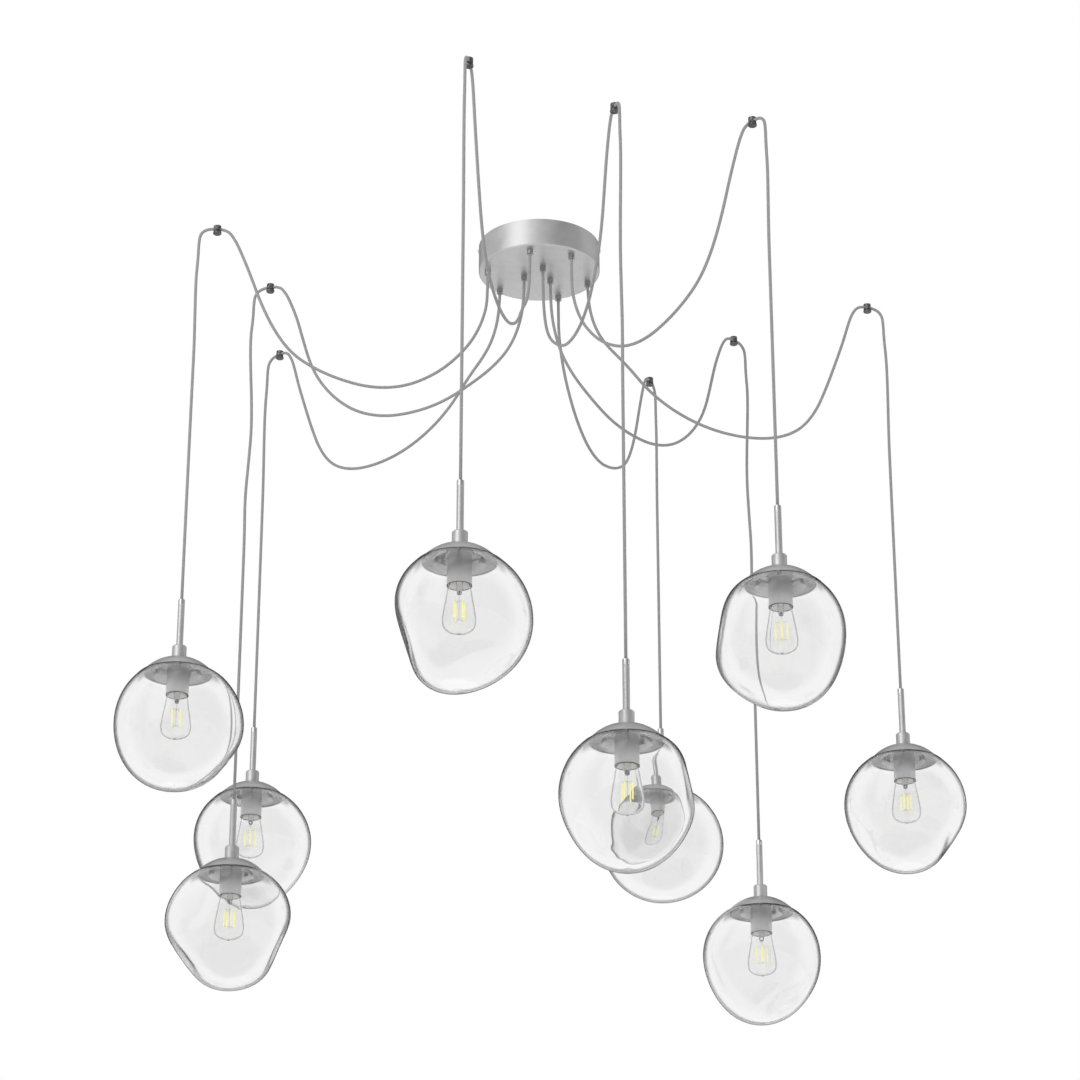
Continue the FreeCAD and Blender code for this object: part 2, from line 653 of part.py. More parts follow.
def circle_section(radius, height):
    bearings = [math.radians(360 / GLOBE_POINTS * number) for number in range(GLOBE_POINTS)]
    return closed_curve([Vector(radius * math.cos(b), radius * math.sin(b), height) for b in bearings])


def band_section(kind, elevation, inset):
    tilt = math.radians(elevation)
    points = []
    for number in range(GLOBE_POINTS):
        bearing = 360 / GLOBE_POINTS * number
        radius = globe_radius(kind, bearing, elevation) - inset
        out = radius * math.cos(tilt)
        points.append(Vector(out * math.cos(math.radians(bearing)), out * math.sin(math.radians(bearing)),
                             radius * math.sin(tilt) - GLOBE_CENTRE))
    return closed_curve(points)


def globe_body(kind, inset):
    """The solid inside the globe's outer face, or inside its inner face when inset by the wall."""
    neck_r = NECK_BORE_D / 2 + GLOBE_WALL
    shoulder = inset_outline([(neck_r + out, -NECK_TOP - down) for out, down in SHOULDER], -inset)
    sections = [circle_section(r, z) for r, z in shoulder]
    sections += [band_section(kind, elevation, inset) for elevation in GLOBE_BANDS]
    foot_r = globe_radius(kind, 0, FOOT_ELEVATION) - inset
    sections.append(circle_section(GLOBE_FLAT_D / 2 * foot_r / kind.globe_r, -GLOBE_CENTRE - foot_r))
    return Part.makeLoft(sections, True, False)


def globe(kind):
    hollow = globe_body(kind, GLOBE_WALL)
    mouth = Part.makeCylinder(NECK_BORE_D / 2, GLOBE_WALL, Vector(0, 0, -NECK_TOP - GLOBE_WALL))
    return globe_body(kind, 0).cut(hollow.fuse(mouth))


# ================================================================ assembly
def main():
    os.makedirs("parts", exist_ok=True)

    save("canopy_cover", [canopy_cover()])
    save("ceiling_bracket", [ceiling_bracket()])
    save("cover_screws", [moved(side_screw(), bearing, 0, -SIDE_SCREW_DEPTH) for bearing in (0, 180)])
    grip = cord_gland()
    nut = gland_nut()
    save("cord_glands", [moved(piece, bearing, radius, 0) for bearing, radius in gland_places()
                         for piece in (grip, nut)])
    halves = (hook_cup(), hook_plug())
    save("ceiling_hooks", [moved(half, bearing, kind.hook_radius, 0) for kind, bearing in LAMPS
                           for half in halves])
    block = ring(BLOCK_D, 0, -BRACKET_T, BLOCK_H)
    leads = [moved(inner_lead(radius, number), bearing, 0, 0)
             for number, (bearing, radius) in enumerate(gland_places(), 1)]
    save("canopy_wiring", [block] + leads)

    lamp_fitting = fitting()
    lamp_socket = socket()
    lamp_bulb = [bulb_base(), bulb_envelope(), filament_mount()]
    globes = {kind.turn: globe(kind) for kind in (FAR, NEAR, MIDDLE)}
    for number, (kind, bearing) in enumerate(LAMPS, 1):
        axis = kind.hook_radius + DROP_OFFSET
        swag = tube(swag_route(kind), CORD_D, f"swag cord {number}")
        save(f"swag_cord_{number}", [moved(swag, bearing, 0, 0)])
        save(f"drop_cord_{number}", [moved(piece, bearing, 0, 0) for piece in drop_cord(kind, number)])
        for name, pieces in (("fitting", lamp_fitting), ("socket", lamp_socket),
                             ("glass", [globes[kind.turn]]), ("bulb", lamp_bulb)):
            save(f"{name}_{number}", [moved(piece, bearing, axis, -kind.lamp_top) for piece in pieces])


main()
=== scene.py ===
# %% [markdown]
# # A cluster pendant with nine blown globes
#
# One silver canopy on the ceiling feeds nine braided cords. Each cord sags in a swag, passes through
# a small dark hook on the ceiling and hangs down to a lamp: a slim stem, a domed cap, a pear-shaped
# filament bulb and a globe of clear glass with soft dents.
#
# The imported model gives the sizes and what moves. This notebook gives the looks: most visible pieces
# are drawn again as smooth meshes with their own procedural finish, and the canopy and lamp pieces
# ride on their bodies.

# %% Frame
import json
import math
from collections import namedtuple

import bpy
import numpy as np
from mathutils import Matrix, Vector


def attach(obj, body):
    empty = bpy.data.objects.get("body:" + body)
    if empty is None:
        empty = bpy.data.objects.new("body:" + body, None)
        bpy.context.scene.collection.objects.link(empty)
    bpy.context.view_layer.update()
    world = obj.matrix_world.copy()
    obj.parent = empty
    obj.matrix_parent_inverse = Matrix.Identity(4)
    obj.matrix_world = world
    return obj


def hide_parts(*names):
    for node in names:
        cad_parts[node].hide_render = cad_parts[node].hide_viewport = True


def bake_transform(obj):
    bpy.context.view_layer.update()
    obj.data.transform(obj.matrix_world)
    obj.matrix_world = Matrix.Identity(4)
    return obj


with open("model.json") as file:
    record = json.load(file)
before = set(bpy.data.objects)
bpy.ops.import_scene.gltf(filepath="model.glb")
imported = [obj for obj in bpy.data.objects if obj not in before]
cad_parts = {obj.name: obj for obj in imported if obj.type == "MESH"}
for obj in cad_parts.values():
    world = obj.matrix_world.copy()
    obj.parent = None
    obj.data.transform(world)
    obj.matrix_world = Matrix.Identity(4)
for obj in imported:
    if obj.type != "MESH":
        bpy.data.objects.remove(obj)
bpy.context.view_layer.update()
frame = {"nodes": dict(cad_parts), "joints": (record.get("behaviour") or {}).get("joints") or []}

JOINTS = {joint["name"]: joint for joint in frame["joints"]}
NODES = frame["nodes"]
MM = 0.001
UP = Vector((0, 0, 1))


def link(obj):
    bpy.context.scene.collection.objects.link(obj)
    return obj


# %% [markdown]
# ## The view
#
# The light is seen from below and far away, so a long lens is right: at 105 mm the near and the far
# lamps differ in size only a little. The camera looks up by 23 degrees.

# %% Camera
CAMERA_PLACE = (1.7 * MM, -5700.3 * MM, -3072.4 * MM)
CAMERA_LENS = 104.85
CAMERA_UP_TILT = 23.02
SENSOR = 36.0

camera_data = bpy.data.cameras.new("camera")
camera_data.lens = CAMERA_LENS
camera_data.sensor_width = SENSOR
camera_data.clip_end = 100
camera = bpy.data.objects.new("camera", camera_data)
camera.location = CAMERA_PLACE
camera.rotation_euler = (math.radians(90 + CAMERA_UP_TILT), 0, 0)
link(camera)
bpy.context.scene.camera = camera
print("camera at", CAMERA_PLACE)

# %% [markdown]
# ## Where the lamps hang
#
# Three groups of three go round the canopy. In each group the cords go to a far, a near and a middle
# hook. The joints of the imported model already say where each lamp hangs: a swing joint sits near the
# hook and a turn joint at the top of the lamp. Only what the joints don't say is written here: the
# route of each cord, and how each kind of globe is dented.

# %% Kinds of lamp
Dent = namedtuple("Dent", "bearing elevation depth spread")
Kind = namedtuple("Kind", "hook_radius gland_radius globe_r crown route wave dents")

FAR = Kind(
    hook_radius=741.0, gland_radius=105.7, globe_r=130.0, crown=1.4,
    route=[(116, -150), (140, -193), (190, -235), (240, -289), (303, -328), (376, -352),
           (452, -358), (520, -348), (573, -321), (610, -275), (637, -215), (660, -155),
           (681, -98), (694, -56)],
    wave=[(3.5, -125), (3, -200), (1, -280), (0, -360)],
    dents=[Dent(330, -35, 17, 24), Dent(295, -10, 18, 41), Dent(270, -18, 22, 32),
           Dent(40, -23, 20, 51), Dent(170, -31, 22, 38)])

NEAR = Kind(
    hook_radius=586.0, gland_radius=31.7, globe_r=126.0, crown=6.7,
    route=[(37, -155), (58, -214), (94, -256), (146, -292), (203, -323), (263, -338),
           (326, -340), (384, -323), (431, -289), (467, -246), (491, -200), (508, -145),
           (523, -92), (538, -53)],
    wave=[(4.5, -120), (1.5, -190), (-3.5, -262), (-6, -335), (-2, -410), (2.5, -485), (0.5, -560),
          (0, -630)],
    dents=[Dent(6, -32, 20, 27), Dent(206, -18, 22, 28), Dent(106, -12, 19, 37),
           Dent(286, -16, 19, 42), Dent(66, 17, 14, 20)])

MIDDLE = Kind(
    hook_radius=657.0, gland_radius=105.7, globe_r=129.5, crown=3.3,
    route=[(108, -152), (131, -214), (168, -264), (213, -304), (272, -334), (336, -341),
           (398, -328), (455, -305), (501, -274), (537, -224), (565, -165), (586, -108),
           (606, -59)],
    wave=[(2.5, -125), (1, -200), (-0.5, -280), (0, -360)],
    dents=[Dent(232, 12, 17, 28), Dent(187, -33, 9, 20), Dent(217, -68, 7, 47),
           Dent(17, -14, 16, 52), Dent(62, -11, 9, 41)])

Lamp = namedtuple("Lamp", "number kind bearing hinge top matrix")
LAMPS = []
for number in range(1, 10):
    hinge = Vector(JOINTS[f"swing_{number}"]["pos_m"])
    top = Vector(JOINTS[f"turn_{number}"]["pos_m"])
    bearing = math.atan2(top.y, top.x)
    matrix = Matrix.Translation(top) @ Matrix.Rotation(bearing, 4, "Z")
    LAMPS.append(Lamp(number, (FAR, NEAR, MIDDLE)[(number - 1) % 3], bearing, hinge, top, matrix))
print("lamp bearings", [round(math.degrees(lamp.bearing)) for lamp in LAMPS])

# %% [markdown]
# ## Cords
#
# A cord is a fixed length of something limp, so it is drawn from its own route: a smooth spline
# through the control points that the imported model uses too. Blender evaluates the spline, and the
# tube's rings are set along it. The rings never twist, because each lies in the upright plane that
# holds the whole cord, and their UVs count millimetres along the cord for the weave.

# %% Route of a cord
CORD_R = 3.0
CANOPY_H = 59.0
CORD_START = -47.9            # the cord's end in the canopy, above its gland
GLAND_RUN = 36.0
HOOK_BORE_DEPTH = 6.5
HOOK_APPROACH = [(-36.0, -20.5), (-20.0, 0.0)]
HOOK_DEPARTURE = [(17.0, 0.0), (33.0, -11.5)]
DROP_OFFSET = 36.0
DROP_KNEE = (-39.0, -73.5)    # heights of the upright run above the hinge
CORD_END = 22.0               # below the lamp's top, in the crimp inside the stem


def cord_route(lamp):
    """Control points of one cord in its upright plane, as distance from the canopy and height."""
    kind = lamp.kind
    axis = kind.hook_radius + DROP_OFFSET
    points = [(kind.gland_radius, CORD_START), (kind.gland_radius, -CANOPY_H - GLAND_RUN)]
    points += kind.route
    points += [(kind.hook_radius + x, z - HOOK_BORE_DEPTH) for x, z in HOOK_APPROACH + HOOK_DEPARTURE]
    points += [(axis, z) for z in DROP_KNEE]
    points += [(axis + x, z) for x, z in kind.wave]
    points.append((axis, lamp.top.z / MM - CORD_END))
    return points


def smooth_path(name, points):
    """The points that Blender finds along a NURBS spline of order 3 with these control points."""
    curve = bpy.data.curves.new(name, "CURVE")
    curve.dimensions = "3D"
    curve.resolution_u = 10
    spline = curve.splines.new("NURBS")
    spline.points.add(len(points) - 1)
    for point, (x, y, z) in zip(spline.points, points):
        point.co = (x, y, z, 1)
    spline.order_u = 3
    spline.use_endpoint_u = True
    holder = link(bpy.data.objects.new(name, curve))
    mesh = bpy.data.meshes.new_from_object(holder)
    path = np.array([vertex.co for vertex in mesh.vertices])
    bpy.data.objects.remove(holder)
    bpy.data.meshes.remove(mesh)
    return path


print("route points", [len(cord_route(lamp)) for lamp in LAMPS[:3]])

# %% [markdown]
# ### Meshes from rows of points
#
# Cords, turned pieces and globes are all rows of points that go once round. One helper joins such
# rows with quads and writes UVs: U goes once round, V counts along. Built this way, the wall stays
# even and a finish can follow the piece, which a scaled primitive would not allow.

# %% Mesh helpers
def new_object(name, vertices, faces, uvs=None, finish=None, smooth=True):
    """A mesh object from rows of vertices, with one UV pair for each corner of each face."""
    mesh = bpy.data.meshes.new(name)
    mesh.from_pydata([tuple(v) for v in vertices], [], faces)
    if uvs is not None:
        layer = mesh.uv_layers.new(name="UVMap")
        layer.data.foreach_set("uv", np.array(uvs, np.float32).ravel())
    mesh.polygons.foreach_set("use_smooth", [smooth] * len(mesh.polygons))
    mesh.update()
    if finish:
        mesh.materials.append(finish)
    return link(bpy.data.objects.new(name, mesh))


def ring_faces(rows, around, along_uv):
    """Quads between rows of vertices that each go once round, and their UVs."""
    faces = []
    uvs = []
    for row in range(rows - 1):
        low, high = row * around, (row + 1) * around
        v0, v1 = along_uv[row], along_uv[row + 1]
        for step in range(around):
            after = (step + 1) % around
            faces.append((low + step, low + after, high + after, high + step))
            u0, u1 = step / around, (step + 1) / around
            uvs += [(u0, v0), (u1, v0), (u1, v1), (u0, v1)]
    return faces, uvs


print("mesh helpers ready")

# %% [markdown]
# ### The tube round a route
#
# Blender's own bevel has no UVs in millimetres, so the tube is made ring by ring, on the points that
# Blender found along the spline.

# %% Tubes for the cords
CORD_SIDES = 14


def outward_from_canopy(lamp):
    return Vector((math.cos(lamp.bearing), math.sin(lamp.bearing), 0))


def cord_tube(lamp, finish):
    """The tube of one cord, the points of its middle line, and its length in metres."""
    outward = outward_from_canopy(lamp)
    route = [outward * (r * MM) + UP * (z * MM) for r, z in cord_route(lamp)]
    path = smooth_path("cord route", route)
    steps = np.diff(path, axis=0)
    lengths = np.concatenate([[0], np.cumsum(np.linalg.norm(steps, axis=1))])
    tangents = np.gradient(path, lengths, axis=0)
    tangents /= np.linalg.norm(tangents, axis=1)[:, None]
    side = np.array(UP.cross(outward))
    normals = np.cross(tangents, side)
    angles = np.arange(CORD_SIDES) * 2 * math.pi / CORD_SIDES
    rings = (path[:, None, :] + CORD_R * MM * (np.cos(angles)[None, :, None] * side
             + np.sin(angles)[None, :, None] * normals[:, None, :]))
    faces, uvs = ring_faces(len(path), CORD_SIDES, lengths / MM)
    last = (len(path) - 1) * CORD_SIDES
    faces += [tuple(range(CORD_SIDES))[::-1], tuple(range(last, last + CORD_SIDES))]
    uvs += [(0, 0)] * (2 * CORD_SIDES)
    tube = new_object(f"cord_{lamp.number}", rings.reshape(-1, 3), faces, uvs, finish)
    return tube, path, float(lengths[-1])


print("cord tubes have", CORD_SIDES, "sides")

# %% [markdown]
# A cord is fixed where it passes the hook and swings with its lamp below it. Here each cord is one
# tube, baked in place, and the imported cord nodes are hidden.


def add_cord(lamp, finish):
    """One cord as one tube, in place of the imported swag and drop nodes. Gives back its length."""
    tube, path, length = cord_tube(lamp, finish)
    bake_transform(tube)
    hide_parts(f"swag_cord_{lamp.number}", f"drop_cord_{lamp.number}")
    return length


# %% [markdown]
# ## Shader groups
#
# Effects that several finishes share are node groups with named sockets. A group only gives a value
# or a mask, and the Principled shader stays in each material.

# %% Group helpers
def group(name, inputs, outputs):
    """A new shader node group with float inputs and outputs, and its two end nodes."""
    tree = bpy.data.node_groups.new(name, "ShaderNodeTree")
    for label, value in inputs.items():
        socket = tree.interface.new_socket(label, in_out="INPUT", socket_type="NodeSocketFloat")
        socket.default_value = value
    for label in outputs:
        tree.interface.new_socket(label, in_out="OUTPUT", socket_type="NodeSocketFloat")
    return tree, tree.nodes.new("NodeGroupInput"), tree.nodes.new("NodeGroupOutput")


def feed(tree, made, inputs):
    """Give each of a node's inputs what feeds it: another node's socket, or a plain value."""
    for key, value in inputs.items():
        if isinstance(value, bpy.types.NodeSocket):
            tree.links.new(value, made.inputs[key])
        else:
            made.inputs[key].default_value = value


def node(tree, kind, inputs=None, **settings):
    made = tree.nodes.new(kind)
    for key, value in settings.items():
        setattr(made, key, value)
    feed(tree, made, inputs or {})
    return made


def maths(tree, operation, first, second=0.0):
    return node(tree, "ShaderNodeMath", {0: first, 1: second}, operation=operation).outputs[0]


def times(tree, first, second):
    return maths(tree, "MULTIPLY", first, second)


def span(tree, value, from_low, from_high, to_low=0.0, to_high=1.0):
    """The value carried from one range to another, with a soft start and end."""
    ends = {"From Min": from_low, "From Max": from_high, "To Min": to_low, "To Max": to_high}
    made = node(tree, "ShaderNodeMapRange", {"Value": value, **ends}, interpolation_type="SMOOTHSTEP")
    return made.outputs["Result"]


def noise(tree, vector, scale, **inputs):
    made = node(tree, "ShaderNodeTexNoise", {"Vector": vector, "Scale": scale, **inputs})
    return made.outputs["Fac"]


def on_object(tree):
    """Where a point of the surface lies in its piece's own axes."""
    return node(tree, "ShaderNodeTexCoord").outputs["Object"]


def axes(tree, vector):
    return node(tree, "ShaderNodeSeparateXYZ", {0: vector}).outputs


def round_and_along(tree):
    """The UVs of a piece: once round it in X, millimetres along it in Y."""
    return axes(tree, node(tree, "ShaderNodeUVMap", uv_map="UVMap").outputs[0])


print("node helpers ready")

# %% [markdown]
# ### Brushed grain
#
# Spun metal has fine rings round its axis. The UVs of a turned piece go once round in U and count
# millimetres along its outline in V, so a noise that is stretched far in U gives those rings.

# %% Brushed grain group
def build_grain_group():
    tree, start, end = group("spun grain", {"Lines per mm": 2.5, "Length": 6.0, "Mottle": 40.0},
                             ["Grain", "Mottle"])
    uv = round_and_along(tree)
    across = times(tree, uv["X"], start.outputs["Length"])
    along = times(tree, uv["Y"], start.outputs["Lines per mm"])
    stretched = node(tree, "ShaderNodeCombineXYZ", {"X": across, "Y": along}).outputs[0]
    lines = noise(tree, stretched, 1.0, Detail=4.0, Roughness=0.6)
    mottle = noise(tree, on_object(tree), start.outputs["Mottle"], Detail=3.0)
    feed(tree, end, {"Grain": lines, "Mottle": mottle})
    return tree


GRAIN = build_grain_group()
print("group", GRAIN.name)

# %% [markdown]
# ### Edge wear
#
# Lacquer is thinnest on sharp edges, so they shine a little more. Cycles measures how convex the
# surface is there, and the group turns that into a mask broken up by noise.

# %% Edge wear group
def build_wear_group():
    tree, start, end = group("edge wear", {"From": 0.52, "To": 0.6, "Break-up": 300.0}, ["Wear"])
    convex = node(tree, "ShaderNodeNewGeometry").outputs["Pointiness"]
    patches = noise(tree, on_object(tree), start.outputs["Break-up"], Detail=2.0)
    edge = span(tree, convex, start.outputs["From"], start.outputs["To"])
    worn = times(tree, edge, span(tree, patches, 0.35, 0.6))
    feed(tree, end, {"Wear": worn})
    return tree


WEAR = build_wear_group()
print("group", WEAR.name)

# %% [markdown]
# ### Small tools for materials
#
# Every finish starts from one Principled shader. Colours are written as the grey that they show in a
# picture, 0 to 255, and turned into linear light here, because that is what can be read off a photo.

# %% Material helpers
def material(name):
    """An empty material with one Principled shader, and its node tree."""
    made = bpy.data.materials.new(name)
    made.use_nodes = True
    tree = made.node_tree
    return made, tree, tree.nodes["Principled BSDF"]


def grouped(tree, shared):
    return node(tree, "ShaderNodeGroup", node_tree=shared)


def tint(tree, factor, low, high):
    """A colour between two, each of which is a colour or the socket that gives one."""
    ends = {key: end if isinstance(end, bpy.types.NodeSocket) else (*end, 1)
            for key, end in (("A", low), ("B", high))}
    return node(tree, "ShaderNodeMix", {"Factor": factor, **ends}, data_type="RGBA").outputs["Result"]


def grey(level):
    """A neutral colour from its value in a picture, 0 to 255."""
    share = level / 255
    linear = share / 12.92 if share <= 0.04045 else ((share + 0.055) / 1.055) ** 2.4
    return (linear, linear, linear)


def bump(tree, shader, height, strength, distance):
    made = node(tree, "ShaderNodeBump",
                {"Height": height, "Strength": strength, "Distance": distance})
    feed(tree, shader, {"Normal": made.outputs[0]})


print("a mid grey is", round(grey(128)[0], 3), "in linear light")

# %% [markdown]
# ### Metal finishes
#
# The canopy, caps, stems and cups share one satin silver lacquer over spun metal. A plain grey
# Principled would do from far away, but the grain rings, the slight mottle and the brighter edges are
# what make it look like lacquered metal close up. The other metals differ only in their numbers.

# %% Metal finishes
MOTTLE_LOW, MOTTLE_HIGH = 0.3, 0.7      # the part of the noise that shows
EDGE_SHINE = grey(225)
GRAIN_BUMP = 0.12


def spun_metal(name, low, high, roughness, metallic, wear, relief):
    """Lathe-turned metal: its two colours, mean roughness, edge wear 0 to 1 and grain depth in mm."""
    made, tree, shader = material(name)
    grain = grouped(tree, GRAIN)
    worn = grouped(tree, WEAR)
    halves = [times(tree, grain.outputs[label], 0.5) for label in ("Grain", "Mottle")]
    blend = maths(tree, "ADD", *halves)
    base = tint(tree, span(tree, blend, MOTTLE_LOW, MOTTLE_HIGH), low, high)
    shine = times(tree, worn.outputs["Wear"], wear)
    uneven = span(tree, blend, MOTTLE_LOW, MOTTLE_HIGH, roughness - 0.05, roughness + 0.07)
    feed(tree, shader, {"Base Color": tint(tree, shine, base, EDGE_SHINE), "Roughness": uneven,
                        "Metallic": metallic})
    bump(tree, shader, grain.outputs["Grain"], GRAIN_BUMP, relief * MM)
    return made


SATIN = spun_metal("satin silver", grey(194), grey(208), 0.4, 0.85, wear=0.25, relief=0.02)
CHROME = spun_metal("chrome", grey(214), grey(224), 0.1, 1.0, wear=0.0, relief=0.004)
GUNMETAL = spun_metal("gunmetal", grey(50), grey(64), 0.32, 0.6, wear=0.2, relief=0.01)
NICKEL = spun_metal("dark nickel", grey(150), grey(168), 0.22, 1.0, wear=0.0, relief=0.004)
ZINC = spun_metal("zinc steel", grey(170), grey(192), 0.42, 0.9, wear=0.1, relief=0.01)
print("metals", [metal.name for metal in (SATIN, CHROME, GUNMETAL, NICKEL, ZINC)])

# %% [markdown]
# ### Braided sleeve
#
# A woven sleeve is two families of yarns that wind round the cord in opposite ways. Modelled yarns
# would be thousands of faces a cord. Two slanted waves in the cord's UVs give the same relief: the
# higher wave is the yarn on top. The grey follows that relief as painted shade, lighter on the high
# parts of the yarns and darker in the grooves and in alternate patches at the crossings, and each
# crossing also gets a slightly different grey of its own.

# %% Cord finish
YARNS = 8                # round the cord, in each family
BRAID_PITCH_MM = 5.0     # along the cord for one yarn's full turn
YARN_RELIEF_MM = 0.35
PAINTED_GROOVE_SHADE_SHARE, PAINTED_CROSSING_SHADE_SHARE, FLECK_SHARE = 0.55, 0.25, 0.2     # what each gives to a yarn's grey: painted groove shade, painted crossing shade, own random tone


def braided_sleeve():
    made, tree, shader = material("grey braid")
    uv = round_and_along(tree)
    turn = times(tree, uv["X"], YARNS)
    climb = times(tree, uv["Y"], YARNS / BRAID_PITCH_MM)
    slants = [maths(tree, operation, turn, climb) for operation in ("ADD", "SUBTRACT")]
    waves = [maths(tree, "SINE", times(tree, slant, math.pi)) for slant in slants]
    over = span(tree, times(tree, *waves), -0.25, 0.25)
    height = maths(tree, "MAXIMUM", *[maths(tree, "ABSOLUTE", wave) for wave in waves])
    crossing = node(tree, "ShaderNodeCombineXYZ", {"X": maths(tree, "FLOOR", slants[0]),
                                                   "Y": maths(tree, "FLOOR", slants[1])})
    fleck = node(tree, "ShaderNodeTexWhiteNoise", {"Vector": crossing.outputs[0]},
                 noise_dimensions="2D").outputs["Value"]
    # painted shade: lighter on high yarn, darker in the grooves and at alternate crossings; the fleck
    # is the yarns' own tone
    shade = times(tree, height, PAINTED_GROOVE_SHADE_SHARE)
    for part, share in ((over, PAINTED_CROSSING_SHADE_SHARE), (fleck, FLECK_SHARE)):
        shade = maths(tree, "ADD", shade, times(tree, part, share))
    feed(tree, shader, {"Base Color": tint(tree, shade, grey(84), grey(165)), "Roughness": 0.8,
                        "Sheen Weight": 0.25, "Sheen Roughness": 0.4})
    bump(tree, shader, height, 0.6, YARN_RELIEF_MM * MM)
    return made


BRAIDED = braided_sleeve()
cord_lengths = [add_cord(lamp, BRAIDED) for lamp in LAMPS]
print("cord lengths", [round(length, 3) for length in cord_lengths])

# %% [markdown]
# ## Turned pieces
#
# Nearly everything on this light is round and spun or turned on a lathe, so one helper makes it: an
# outline in radius and height goes once round the axis. Each hard corner of an outline is given a
# small arc, because a real edge is never perfectly sharp and catches a line of light.

# %% Turned pieces
AXIS_R = 1e-4            # stands for a radius of nought
CORNER_SHARE = 0.45      # the most of a straight run that one corner's arc may take
ROD_TIP = 0.4            # how far a rod tapers at its ends


def turned(name, outline, finish, around=48):
    """A piece turned on a lathe: its outline, (radius, height) in millimetres, goes once round Z."""
    points = list(outline)
    area = sum(a[0] * b[1] - b[0] * a[1] for a, b in zip(points, points[1:] + points[:1]))
    if area < 0:
        points.reverse()          # so that every face looks out of the material
    steps = [math.hypot(b[0] - a[0], b[1] - a[1]) for a, b in zip(points, points[1:])]
    along = np.concatenate([[0], np.cumsum(steps)])
    angles = np.arange(around) * 2 * math.pi / around
    vertices = [(max(r, AXIS_R) * MM * math.cos(a), max(r, AXIS_R) * MM * math.sin(a), z * MM)
                for r, z in points for a in angles]
    faces, uvs = ring_faces(len(points), around, along)
    return new_object(name, vertices, faces, uvs, finish)


def rounded(corners, radius, steps=4):
    """An outline whose inner corners are rounded by short arcs. A radius may be given per corner."""
    points = [corners[0][:2]]
    for before, corner, after in zip(corners, corners[1:], corners[2:]):
        reach = corner[2] if len(corner) > 2 else radius
        a = Vector((before[0] - corner[0], before[1] - corner[1]))
        b = Vector((after[0] - corner[0], after[1] - corner[1]))
        reach = min(reach, a.length * CORNER_SHARE, b.length * CORNER_SHARE)
        here = Vector(corner[:2])
        first, last = here + a.normalized() * reach, here + b.normalized() * reach
        for step in range(steps + 1):
            t = step / steps
            points.append(tuple(first * (1 - t) ** 2 + here * 2 * t * (1 - t) + last * t ** 2))
    points.append(corners[-1][:2])
    return points


def rods(name, ends, radius, finish, sides=10):
    """Thin round rods between pairs of points in millimetres, each with a short taper at its ends."""
    vertices, faces = [], []
    for start, end in ends:
        start, end = Vector(start), Vector(end)
        along = (end - start).normalized()
        across = along.orthogonal().normalized()
        beside = along.cross(across)
        first_vertex = len(vertices)
        for centre, size in ((start, ROD_TIP), (start + along * radius, 1),
                             (end - along * radius, 1), (end, ROD_TIP)):
            for step in range(sides):
                angle = 2 * math.pi * step / sides
                spoke = across * math.cos(angle) + beside * math.sin(angle)
                vertices.append((centre + spoke * radius * size) * MM)
        tube, _ = ring_faces(4, sides, range(4))
        faces += [tuple(i + first_vertex for i in face) for face in tube]
        faces.append(tuple(range(first_vertex, first_vertex + sides))[::-1])
        faces.append(tuple(range(first_vertex + 3 * sides, first_vertex + 4 * sides)))
    return new_object(name, vertices, faces, None, finish)


print("turning tools ready")

# %% [markdown]
# ## Hanging a piece in its lamp
#
# A lamp's pieces are made once, in the lamp's own axes: the top of its stem is the origin and X
# points away from the canopy. The other lamps share that mesh and only get their own place.

# %% Placing
made_first = {}


def repeat(key, lamp, build, kind=""):
    """The piece for one lamp. The lamps after the first, of a kind if one is given, share its mesh."""
    name = f"{key}_{lamp.number}"
    shared = key + kind
    if shared not in made_first:
        made_first[shared] = build(name)
        return made_first[shared]
    return link(bpy.data.objects.new(name, made_first[shared].data))


def place(obj, lamp, body, node_name):
    """Hang a piece in its lamp: in place, riding on a body, standing for a node."""
    obj.matrix_world = lamp.matrix
    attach(obj, body)
    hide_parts(node_name)


print("pieces hang from", [round(lamp.top.z / MM) for lamp in LAMPS[:3]], "mm down")

# %% [markdown]
# ## Canopy
#
# The canopy is a shallow spun cup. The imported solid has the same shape, but as flat facets. Turned
# again from its section it gets a soft lower edge and UVs for the grain.

# %% Canopy
CANOPY_R = 123.5
SHEET = 1.2


def add_canopy():
    outline = rounded([(0.0, -CANOPY_H), (CANOPY_R, -CANOPY_H, 5.0), (CANOPY_R, 0.0, 0.3),
                       (CANOPY_R - SHEET, 0.0, 0.3), (CANOPY_R - SHEET, SHEET - CANOPY_H, 3.5),
                       (0.0, SHEET - CANOPY_H)], 1.0, 8)
    cover = turned("canopy", outline, SATIN, 160)
    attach(cover, "canopy")
    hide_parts("canopy_cover")
    return cover


print("canopy", len(add_canopy().data.vertices), "vertices")

# %% [markdown]
# ## Fitting: ferrule, stem, collar, cap and spring holder
#
# These are separate pieces in the real lamp, and they catch light differently where they meet, so
# each is a mesh of its own. The dome of the cap is part of a sphere, found from its width and rise.
# The spring holder is a stamped ring with three bent fingers that grip the globe's neck from inside.

# %% Fitting sizes
STEM_R = 6.35
COLLAR_R = 13.75
COLLAR_TOP = 95.6
CAP_R = 66.0
CAP_RISE = 30.0
CAP_RIM = 150.5
CAP_SPHERE = (CAP_R ** 2 + CAP_RISE ** 2) / (2 * CAP_RISE)
CAP_BEAD = 1.15          # width of the turned-in rim
SOCKET_R = 21.5
SOCKET_TOP = 125.3
HOLDER_TOP = 134.0
HOLDER_HUB_R = 24.5
HOLDER_HUB_H = 6.0
FINGER_R = 37.95         # middle of a finger's sheet
FINGER_W = 11.0
FINGER_T = 1.5
FINGERS = 3
print("the cap is part of a sphere of radius", round(CAP_SPHERE, 1))

# %% [markdown]
# Each outline is the half section of one piece, as on a turner's drawing. A third number at a corner
# is the radius of its edge.

